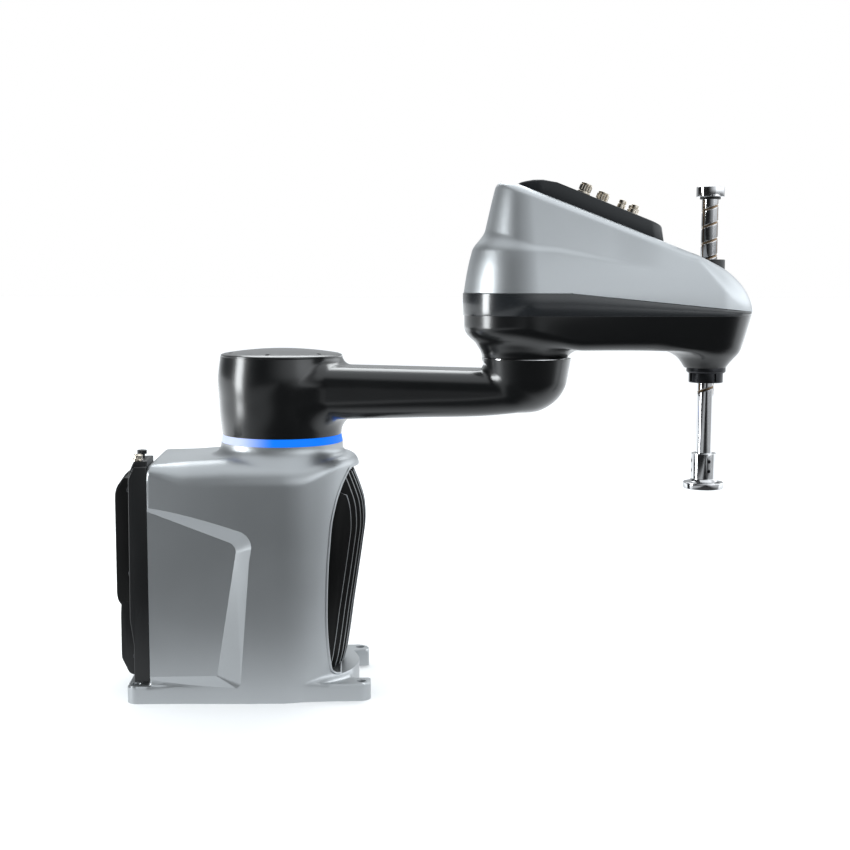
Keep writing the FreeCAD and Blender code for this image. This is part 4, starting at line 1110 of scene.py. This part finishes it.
# %% Drum cap
cap_radius = cap_high.x
cap_crown = 7.0
screw_count = 6
screw_ring = 67.0
screw_phase = inner_turn - math.radians(20.5)
dome = [(0.0, cap_high.z)]
for r in np.linspace(12.0, cap_radius - 4.0, 12):
    dome.append((float(r), cap_high.z - cap_crown * (r / cap_radius) ** 2))
rim = [(cap_radius, drum_top + 2.6, 1.4), (cap_radius, drum_top, 0.3), (0.0, drum_top)]
cap = spun(dome + rim, 128)
holes = []
heads = []
for index in range(screw_count):
    angle = screw_phase + index * math.tau / screw_count
    x = screw_ring * math.cos(angle)
    y = screw_ring * math.sin(angle)
    holes.append(moved(rod(3.1, drum_top + 0.2, 445, 32), x, y))
    heads.append(moved(hex_screw(2.7, 2.2, 1.4), x, y, drum_top + 0.25))
put(cut(cap, *holes), "drum_cap", "inner_link", "black_paint", "shoulder_cap")
put(merged(*heads), "drum_cap_screws", "inner_link", "dark_steel", "shoulder_cap_screws")

# %% [markdown]
# ## Outer link: plan and seam
#
# Seen from above the outer link is a tapered capsule, round about the elbow and round about the
# quill. Housing, band and cover share this plan, so their edges stay in line. The seam between band
# and cover is level over the elbow and then falls towards the nose.

# %% Outer link: plan and seam
band_low, band_high = box_mm("cover_band")
elbow_radius = elbow.x - band_low.x
quill_radius = band_high.x - quill_axis.x
band_bottom = band_low.z
seam_level = band_high.z
seam_turn = 45.0
seam_nose = 493.5
seam_fall = (seam_level - seam_nose) / (outer_length + quill_radius - seam_turn)


def capsule(x, y, first, second):
    """Distance outside a tapered capsule from the elbow axis to the quill axis, in plan."""
    lean = (first - second) / outer_length
    upright = np.sqrt(1 - lean * lean)
    across = np.abs(y)
    along = upright * x - lean * across
    side = upright * across + lean * x - first
    ends = np.where(along < 0, np.hypot(x, across) - first, np.hypot(x - outer_length, across) - second)
    return np.where((along < 0) | (along > upright * outer_length), ends, side)


def capsule_points(first, second, count=40, along=1):
    """The same capsule as an outline, with its straight sides in some number of stretches."""
    lean = math.asin((first - second) / outer_length)
    points = []
    for angle in np.linspace(-math.pi / 2 + lean, math.pi / 2 - lean, count):
        points.append((outer_length + second * math.cos(angle), second * math.sin(angle)))
    rear = []
    for angle in np.linspace(math.pi / 2 - lean, 1.5 * math.pi + lean, count + 12):
        rear.append((first * math.cos(angle), first * math.sin(angle)))
    parts = [step / along for step in range(1, along)]
    back = [tuple(Vector(points[-1]).lerp(Vector(rear[0]), part)) for part in parts]
    forth = [tuple(Vector(rear[-1]).lerp(Vector(points[0]), part)) for part in parts]
    return points + back + rear + forth


def seam_height(x):
    """Height of the seam between band and cover."""
    return seam_level - max(0.0, x - seam_turn) * seam_fall


# %% [markdown]
# ## Outer housing
#
# A thin black casting, open at the top. A round neck rises from the elbow and flares out into it, its
# flat underside runs forward, and at the nose it swells down into a round boss for the quill's seal.

# %% Outer housing
nose_bottom = box_mm("outer_link_casting")[0].z
neck_bottom = nose_bottom + 12.6
under_side = 447.2
seat_half = 73.9
rear_lift = 15.5
neck_half = 51.5
neck_flare = 0.2
neck_reach = 458.0
wall = 4.5
nose_half = curve((
    (416.0, 20.6), (420.0, 21.4), (424.0, 23.0), (428.0, 25.4), (432.0, 28.6), (436.0, 32.6), (440.0, 36.4),
    (447.0, 40.4), (459.0, 44.4), (474.0, 48.6), (489.0, 52.6),
))
boss_under = curve((
    (0.0, 417.0), (20.5, 418.5), (24.0, 421.5), (27.5, 426.5), (31.0, 432.0), (35.0, 437.0), (41.0, 441.4),
    (48.0, 444.6), (60.0, 446.7), (75.0, under_side), (300.0, under_side),
))


def housing_field(x, y, z):
    """The housing: a capsule with a boss under its nose, joined to the neck over the elbow."""
    rear_rise = 1 - slope(x, -25.0, 66.0)
    quill_distance = np.hypot(x - outer_length, y)
    under = boss_under(quill_distance) + rear_lift * rear_rise
    rear_half = seat_half - 3.0 * (1 - rear_rise) * slope(489.0 - z, 0.0, 42.0)
    body = capsule(x, y, rear_half, nose_half(z))
    body = round_meet(body, under - z, 13.0 - 8.0 * slope(90.0 - quill_distance, 0.0, 40.0))
    neck = (np.hypot(x, y) - neck_half - neck_flare * (z - neck_bottom)) * 0.76
    neck = round_meet(neck, z - neck_reach, 10.0)
    neck = round_meet(neck, neck_bottom - SPARE - z, 1.0)
    body = round_join(body, neck, 14.0 + 8.0 * rear_rise)
    return round_meet(body, z - band_bottom - SPARE, 1.0)


housing_seed = merged(
    prism(capsule_points(72.0, 50.0), 455.0, band_bottom + 3),
    prism(capsule_points(60.0, 40.0), 449.0, 456.0),
    turned([(0, neck_bottom - 4), (52, neck_bottom - 4), (58, 462), (0, 462)], closed=False),
    moved(turned([(0, 422), (22, 422), (38, 436), (43, 460), (0, 460)], closed=False), outer_length),
)
housing = skin(housing_seed, housing_field, 1.9)
trimmed(housing, band_bottom, capped=False)
trimmed(housing, neck_bottom, keep="above", where=lambda spot: spot.x < 90, capped=False)
trimmed(housing, nose_bottom, keep="above", where=lambda spot: spot.x > 150, capped=False)


def shelled(bm, thickness):
    """Give an open skin a thickness inwards."""
    holder = held_object(bm)
    modifier = holder.modifiers.new("wall", "SOLIDIFY")
    modifier.thickness = thickness
    modifier.offset = -1
    modifier.use_even_offset = True
    return worked(holder)


housing = at_elbow(shelled(housing, wall))
put(housing, "outer_housing", "outer_link", "black_paint", "outer_link_casting")

# %% [markdown]
# ## Band and cover
#
# A charcoal band closes the housing and stands a little proud of it. The silver cover sits on the
# band: a skirt, a shoulder that steps in towards a tower over the elbow, a top that slopes down to
# the nose, and a soft nose. The shoulder is strong behind the tower and fades out along the sides.

# %% Band and cover
band_nose = quill_radius - 2.3
outer_line = capsule_points(elbow_radius, band_nose, 64, 40)
inner_line = capsule_points(elbow_radius - wall, band_nose - wall, 64, 40)
band = bmesh.new()
rings = []
for line, raised in ((outer_line, False), (outer_line, True), (inner_line, True), (inner_line, False)):
    rings.append([band.verts.new((u, v, seam_height(u) - 0.3 if raised else band_bottom)) for u, v in line])
for here, there in zip(rings, rings[1:] + rings[:1]):
    for index in range(len(here)):
        band.faces.new((here[index - 1], here[index], there[index], there[index - 1]))
bmesh.ops.recalc_face_normals(band, faces=band.faces)
band = at_elbow(softened(band, 0.7, 3, 60))
put(band, "outer_band", "outer_link", "black_plastic", "cover_band", finish="band_plastic")

cover_wall = 3.0
guide_hole = 22.0
tower_top = box_mm("outer_cover")[1].z
slope_fall = 0.386
slope_start = 646.0 - 18.9 * slope_fall
crease_height = 563.0
shoulder_step = 12.6
diagonal = 0.7071
skirt_half = curve((
    (490.0, 75.2), (515.5, 74.6), (524.0, 73.4), (538.0, 71.2), (553.0, 68.2), (567.0, 64.6),
    (596.0, 56.6), (639.0, 44.0), (652.0, 39.6),
))
nose_draw = curve((
    (490.0, 53.6), (504.0, 53.2), (530.0, 51.6), (560.0, 48.6), (600.0, 43.5), (650.0, 36.0),
))


def parted(bm, x, **settings):
    """Split a mesh's faces along an upright plane across the link, and keep both sides."""
    whole = bm.verts[:] + bm.edges[:] + bm.faces[:]
    bmesh.ops.bisect_plane(bm, geom=whole, plane_co=(x, 0, 0), plane_no=(1, 0, 0), **settings)


def cover_field(x, y, z):
    """The cover: sides that lean in with a step at the crease, under a top that slopes to the nose."""
    crease = crease_height - 0.05 * x - 0.14 * np.maximum(x - 31.0, 0)
    step_in = shoulder_step - 10.8 * slope(x, -72.0, -12.0)
    step_in = step_in * (1 - slope(x, 95.0, 158.0))
    run = 27.0 - 17.0 * slope(x, -60.0, 10.0)
    plan = capsule(x, y, skirt_half(z), nose_draw(z)) + step_in * slope(z, crease, crease + run)
    plan = plan * 0.96
    top = (z - slope_start + slope_fall * x) * 0.933
    top = round_meet(top, z - tower_top, 4.0)
    near_nose = slope(x, outer_length - 40.0, outer_length + 30.0)
    facet = (plan + top) * diagonal + 4.6 - 12.0 * near_nose
    body = round_meet(plan, top, 3.5 + 34.0 * near_nose)
    body = round_meet(body, facet, 2.0)
    return round_meet(body, band_bottom - SPARE - z, 1.0)


past_nose = [(222, 551), (258, 533), (271, 515), (280, 490), (330, 490), (330, 600), (222, 600)]
cover_seed = cut(prism(capsule_points(73.0, 53.0), 487.0, 560.0), prism(past_nose, -120, 120, SIDE))
cover_seed = merged(
    cover_seed,
    prism([(-40, 558), (150, 558), (150, 578), (-18, 644), (-28, 644)], -36.0, 36.0, SIDE),
    prism(capsule_points(52.0, 46.0), 558.0, 566.0),
)
cover = skin(cover_seed, cover_field, 1.9, 6)
parted(cover, seam_turn, dist=0.001)
seam_normal = Vector((seam_fall, 0, 1)).normalized()
seam_reach = seam_normal.dot(Vector((seam_turn, 0, seam_level)))
trimmed(cover, seam_level, "above", lambda spot: spot.x < seam_turn, capped=False)
trimmed(cover, seam_reach, "above", lambda spot: spot.x > seam_turn, seam_normal, capped=False)
cover = cut(shelled(cover, cover_wall), moved(rod(guide_hole, 480, 640, 64), outer_length))
put(at_elbow(cover), "outer_top_cover", "outer_link", "silver_plastic", "outer_cover")

# %% [markdown]
# ## Connector panel
#
# A black panel stands on the slope behind the nose and widens towards the front. Its top falls a
# little faster than the slope, and turns level at the rear. The faces are parted where the top
# bends, so each stays flat. Two round signal plugs and four air fittings stand square to its slope.

# %% Connector panel
panel_low, panel_high = box_mm("io_panel")
panel_rise = 25.5
panel_fall = 0.19
panel_draw = 0.985
crest_drop = 2.5
crest_rise = 0.16
panel_rear = panel_low.x - elbow.x + 4.0
panel_front = panel_high.x - elbow.x + 4.5
panel_plan = [
    (panel_rear, -20, 9), (panel_rear + 24, -27, 30), (panel_front, -35, 16), (panel_front, 35, 16),
    (panel_rear + 24, 27, 30), (panel_rear, 20, 9),
]
panel = prism(arcs(panel_plan, steps=8), 0.0, panel_rise)
panel_gradient = slope_fall + panel_fall * panel_rise / (panel_front - panel_rear)
panel_slope = math.atan(panel_gradient)
rear_height = slope_start - slope_fall * panel_rear + panel_rise
to_level = crest_drop / crest_rise
to_slope = (rear_height - tower_top) / panel_gradient
if to_slope < to_level:
    to_slope = (rear_height - tower_top + crest_drop) / (panel_gradient + crest_rise)
for kink in (to_level, to_slope):
    parted(panel, panel_rear + kink / panel_draw)


def panel_height(x):
    """How high the panel stands over the cover's slope."""
    return panel_rise * (1 - panel_fall * (x - panel_rear) / (panel_front - panel_rear))


for vert in panel.verts:
    foot = slope_start - slope_fall * vert.co.x
    if vert.co.z < 1:
        vert.co.z = min(foot - 3.0, tower_top - 9.0)
    else:
        vert.co.x = panel_rear + (vert.co.x - panel_rear) * panel_draw
        vert.co.y *= 0.95
        crest = tower_top - crest_drop + crest_rise * (vert.co.x - panel_rear)
        vert.co.z = min(foot + panel_height(vert.co.x), crest, tower_top)
panel = at_elbow(softened(panel, 3.0, 4, 40))
put(panel, "signal_panel", "outer_link", "black_plastic", "io_panel", finish="panel_plastic")


def on_panel(bm, x, y):
    """Stand a small piece on the panel's slope."""
    foot = slope_start - slope_fall * x + panel_height(x)
    return moved(bm, elbow.x + x, elbow.y + y, foot - 0.8, Matrix.Rotation(panel_slope, 4, "Y"))


signal_line = [
    (0, 0), (8.0, 0), (8.0, 1.6, 0.5), (6.4, 2.0), (6.4, 9.8), (6.9, 10.2, 0.3), (6.9, 12.2, 0.5),
    (4.6, 12.2), (4.6, 10.0), (0, 10.0),
]
plugs = []
for x, y in ((68.0, -8.0), (91.0, 4.0)):
    plug = merged(spun(signal_line, 64), knurled(7.6, 3.2, 9.4, 14, 0.7, 0.5))
    plugs.append(on_panel(plug, x, y))
put(merged(*plugs), "panel_signal_plugs", "outer_link", "nickel_brass", "signal_connectors")
air_line = [
    (0, 0), (4.8, 0), (4.8, 5.2, 0.4), (3.9, 5.8), (3.9, 6.8), (4.6, 7.2), (4.6, 10.8, 0.8),
    (2.4, 10.8), (2.4, 8), (0, 8),
]
fittings = []
for x, y in ((112.0, -12.0), (126.0, -16.0), (126.0, 0.0), (133.0, 14.0)):
    fittings.append(on_panel(spun(air_line, 48), x, y))
put(merged(*fittings), "panel_air_fittings", "outer_link", "nickel_brass", "air_fittings")

# %% [markdown]
# ## Quill seals
#
# A dark collar guides the quill through the cover. Under the nose a flange holds the seal with small
# screws, and a slotted ring nut closes it.

# %% Quill seals
bore = 10.6
radius, low, high = round_mm("quill_guide")
guide_neck = 19.4
guide_step = 544.0
guide = turned(arcs([
    (bore, low), (radius, low), (radius, guide_step, 0.8), (guide_neck, guide_step, 0.8),
    (guide_neck, high, 1.0), (bore + 1.2, high, 0.4), (bore, high - 1.4),
]))
put(at_quill(guide), "quill_collar", "outer_link", "black_plastic", "quill_guide")

radius, low, high = round_mm("nose_flange")
seal = turned(arcs([
    (bore + 3, low), (radius - 1.6, low, 0.5), (radius, low + 1.8, 0.5), (radius, high, 0.4),
    (bore + 3, high),
]))
put(at_quill(seal), "nose_seal_flange", "outer_link", "dark_steel", "nose_flange")

radius, low, high = round_mm("nose_nut")
nut = turned(arcs([(bore, low), (radius, low, 0.9), (radius, high, 0.4), (bore, high)]))
notch_plan = [(-2.4, 18.6), (2.4, 18.6), (2.4, 25), (-2.4, 25)]
notches = []
for degrees in (15, 105, 195, 285):
    notch = prism(notch_plan, low + 1.5, high + 1)
    notches.append(moved(notch, turn=about("Z", degrees)))
put(at_quill(cut(nut, *notches)), "nose_ring_nut", "outer_link", "dark_steel", "nose_nut")

# %% [markdown]
# ## Quill
#
# The quill is a hollow shaft with a right-handed helical groove of 20 mm lead and three straight
# grooves. It is made as a fine grid round the shaft whose points sink where a groove runs, and the
# faces that have sunk get the oiled finish. A stop collar over a rubber ring closes the top, and the
# tool flange with its clamping screws the bottom.

# %% Quill
shaft_radius, shaft_low, shaft_high = round_mm("quill_shaft")
lead = 20.0
helix_phase = 19.3
helix_lean = 0.953
helix_half = 1.5
helix_depth = 1.0
groove_start = 390.0
groove_run_in = 6.0
straight_grooves = (-36.0, 84.0, 204.0)
straight_half = 1.3
straight_depth = 0.8
shaft_steps = 144
shaft_rows = 610


def groove_depth(angle, z):
    """How far the surface of the shaft sinks at an angle and a height."""
    run = z - helix_phase - lead * (angle + math.pi / 2) / math.tau
    off = abs((run + lead / 2) % lead - lead / 2) * helix_lean
    deepest = helix_depth * max(0.0, 1 - (off / helix_half) ** 2) ** 0.5
    for middle in straight_grooves:
        aside = abs((math.degrees(angle) - middle + 180) % 360 - 180)
        off = math.radians(aside) * shaft_radius
        deepest = max(deepest, straight_depth * max(0.0, 1 - (off / straight_half) ** 2) ** 0.5)
    return deepest * min(1.0, max(0.0, (z - groove_start) / groove_run_in))


rows = [shaft_low + (shaft_high - shaft_low) * row / shaft_rows for row in range(shaft_rows + 1)]
shaft = turned([(shaft_radius, z) for z in rows], shaft_steps, closed=False)
for vert in shaft.verts:
    angle = math.atan2(vert.co.y, vert.co.x)
    level = shaft_radius - groove_depth(angle, vert.co.z)
    vert.co.x = level * math.cos(angle)
    vert.co.y = level * math.sin(angle)
for height, inwards in ((shaft_low, 12), (shaft_high, -12)):
    rim = [edge for edge in shaft.edges if all(abs(vert.co.z - height) < 0.01 for vert in edge.verts)]
    lip = bmesh.ops.extrude_edge_only(shaft, edges=rim)["geom"]
    lip = [item for item in lip if isinstance(item, bmesh.types.BMVert)]
    bmesh.ops.scale(shaft, vec=(0.55, 0.55, 1), verts=lip)
    rim = [edge for edge in shaft.edges if all(vert in lip for vert in edge.verts)]
    deep = bmesh.ops.extrude_edge_only(shaft, edges=rim)["geom"]
    deep = [item for item in deep if isinstance(item, bmesh.types.BMVert)]
    bmesh.ops.translate(shaft, vec=(0, 0, inwards), verts=deep)
quill = put(at_quill(shaft), "quill_spline_shaft", "quill", "ground_steel", "quill_shaft")
quill.data.materials.append(finishes["oiled_groove"])
for polygon in quill.data.polygons:
    spot = polygon.center / MM
    away = math.hypot(spot.x - quill_axis.x, spot.y - quill_axis.y)
    if shaft_radius - 2.0 < away < shaft_radius - 0.35:
        polygon.material_index = 1

stop_bore = bore - 0.4
radius, low, high = round_mm("stop_collar")
stop = turned(arcs([
    (stop_bore, low), (radius, low, 0.7), (radius, high, 0.9), (bore + 1, high, 0.4),
    (stop_bore, high - 1.2),
]))
put(at_quill(stop), "quill_stop_collar", "quill", "ground_steel", "stop_collar")
radius, low, high = round_mm("stop_bumper")
bumper = turned(arcs([(stop_bore, low), (radius, low, 0.6), (radius, high), (stop_bore, high)]))
put(at_quill(bumper), "quill_stop_bumper", "quill", "black_plastic", "stop_bumper")

radius, low, high = round_mm("user_flange")
hub_radius = 15.3
hub_bore = shaft_radius + 0.3
tool_bore = 5.6
tool_bolt_circle = 20.5
disc_top = low + 8.7
tool = turned(arcs([
    (tool_bore, low, 0.5), (radius, low, 1.4), (radius, disc_top - 0.6, 1.2),
    (hub_radius + 2.2, disc_top + 0.6, 1.0), (hub_radius, disc_top + 3.4, 1.4), (hub_radius, high, 0.7),
    (hub_bore, high), (hub_bore, low + 2), (tool_bore, low + 2),
]))
clamp_heights = (298.0, 310.0)
clamp_angles = (180.0, -80.0)
holes = []
screws = []
for z in clamp_heights:
    for degrees in clamp_angles:
        hole = moved(rod(2.3, 0, 8, 24), 11.0, 0, z, about("Y", 90))
        holes.append(moved(hole, turn=about("Z", degrees)))
        screw = moved(hex_screw(2.2, 3.6, 1.2), 11.1, 0, z, about("Y", 90))
        screws.append(moved(screw, turn=about("Z", degrees)))
for degrees in (45, 135, 225, 315):
    angle = math.radians(degrees)
    x = tool_bolt_circle * math.cos(angle)
    holes.append(moved(rod(2.1, -1, 12, 24), x, tool_bolt_circle * math.sin(angle), low))
put(at_quill(cut(tool, *holes)), "quill_tool_flange", "quill", "ground_steel", "user_flange")
put(at_quill(merged(*screws)), "quill_set_screws", "quill", "dark_steel", "flange_set_screws")

# %% [markdown]
# ## Parts inside
#
# The drives inside are seen only in the gap at the elbow and when the covers are off. They keep the
# shapes of the CAD model, each with the finish of its own kind.

# %% Parts inside
INSIDE = {
    "motor_grey": ("shoulder_motor", "elbow_motor", "z_motor", "theta_motor"),
    "ground_steel": (
        "shoulder_gear", "shoulder_output_flange", "ball_nut", "spline_nut", "nut_bearing", "spline_bearing",
    ),
    "dark_steel": ("nose_flange_screws",),
    "circuit_board": ("drive_board",),
    "belt_rubber": ("z_belt", "theta_belt"),
    "black_anodised": (
        "power_supply", "motor_bracket", "nut_plate", "z_motor_pulley", "theta_motor_pulley", "theta_pulley",
        "z_pulley",
    ),
}
for slot, names in INSIDE.items():
    for name in names:
        node = frame["nodes"][name]
        node.data.materials.clear()
        node.data.materials.append(finishes[slot])

# %% [markdown]
# ## Studio
#
# The robot stands on a plain pale floor before white. A tall soft box on the left draws the bright
# streak down the drum and the cover, and a wide one from above and behind brightens the tops. What
# the paints and metals mirror is set apart from what the camera sees: a dark room with light walls to
# the right, behind and overhead, and a floor that glows near the base and at its sides.

# %% Studio
floor_bm = bmesh.new()
bmesh.ops.create_grid(floor_bm, x_segments=1, y_segments=1, size=40.0)
floor_mesh = bpy.data.meshes.new("studio_floor")
floor_bm.to_mesh(floor_mesh)
floor_bm.free()
studio_floor = added("studio_floor", floor_mesh)
floor = Finish("studio_floor")
floor_mesh.materials.append(floor.set(Base_Color=grey(0.97), Roughness=0.9, Specular_IOR_Level=0.1))
depth = floor.part(floor.place, "Y")
side = floor.part(floor.place, "X")
near_glow = floor.clamped(depth, -0.5, -0.1)
far_glow = floor.clamped(depth, -4.0, -1.3)
left_glow = floor.clamped(side, -0.3, -0.8) * floor.clamped(side, -2.6, -1.6)
right_glow = floor.clamped(side, 1.3, 2.6)
far_right_glow = floor.clamped(side / (0.0 - depth), 0.4, 0.62) * floor.clamped(depth, -6.0, -12.0)
glow_level = 0.015 + 0.04 * far_glow + 0.9 * near_glow + 0.5 * left_glow + 0.5 * right_glow
glow_level = glow_level + 2.2 * far_right_glow
floor_glow = floor.glowing("ShaderNodeEmission", glow_level, COOL)
floor_mix = floor.either(floor.ray("Is Glossy Ray"), Value(floor, floor.shader.outputs[0]), floor_glow)
floor.feed(floor.tree.nodes["Material Output"].inputs["Surface"], floor_mix)

world = bpy.data.worlds.new("studio")
bpy.context.scene.world = world
world.use_nodes = True
room = Nodes(world.node_tree)
facing = room.node("ShaderNodeTexCoord", {}, {}, "Generated")
aside, back, up = (room.part(facing, axis) for axis in "XYZ")
behind = room.clamped(back, 0.55, 0.93)
above = room.clamped(up, -0.02, 0.16)
to_right = room.clamped(aside, -0.55, 0.55)
high = room.clamped(up, 0.3, 0.7)
overhead = room.clamped(up, 0.58, 0.85)
far_right = room.clamped(aside, 0.38, 0.6)
front_level = 0.015 + above * (1.1 * to_right + 1.1 * far_right) * (1 - 0.75 * high)
mirrored = front_level * (1 - behind) + 0.45 * behind + 0.95 * overhead
soft_level = room.glowing("ShaderNodeBackground", 1.12, COOL)
mirror_level = room.glowing("ShaderNodeBackground", mirrored, COOL)
seen_level = room.glowing("ShaderNodeBackground", 1.0)
unseen = room.either(room.ray("Is Glossy Ray"), soft_level, mirror_level)
shown = room.either(room.ray("Is Camera Ray"), unseen, seen_level)
room.feed(world.node_tree.nodes["World Output"].inputs["Surface"], shown)


def soft_box(name, place, aim, width, height, watts):
    light = bpy.data.lights.new(name, "AREA")
    light.shape = "RECTANGLE"
    light.size = width
    light.size_y = height
    light.energy = watts
    light.color = (0.95, 0.985, 1.0)
    lamp = added(name, light)
    lamp.location = place
    lamp.rotation_mode = "QUATERNION"
    lamp.rotation_quaternion = (Vector(aim) - Vector(place)).to_track_quat("-Z", "Y")
    lamp.visible_camera = False


soft_box("left_strip", (-2.15, -0.42, 0.5), (0.1, 0, 0.42), 0.6, 1.5, 43)
soft_box("back_bank", (0.4, 1.6, 2.2), (0.2, 0, 0.3), 2.2, 1.4, 32)
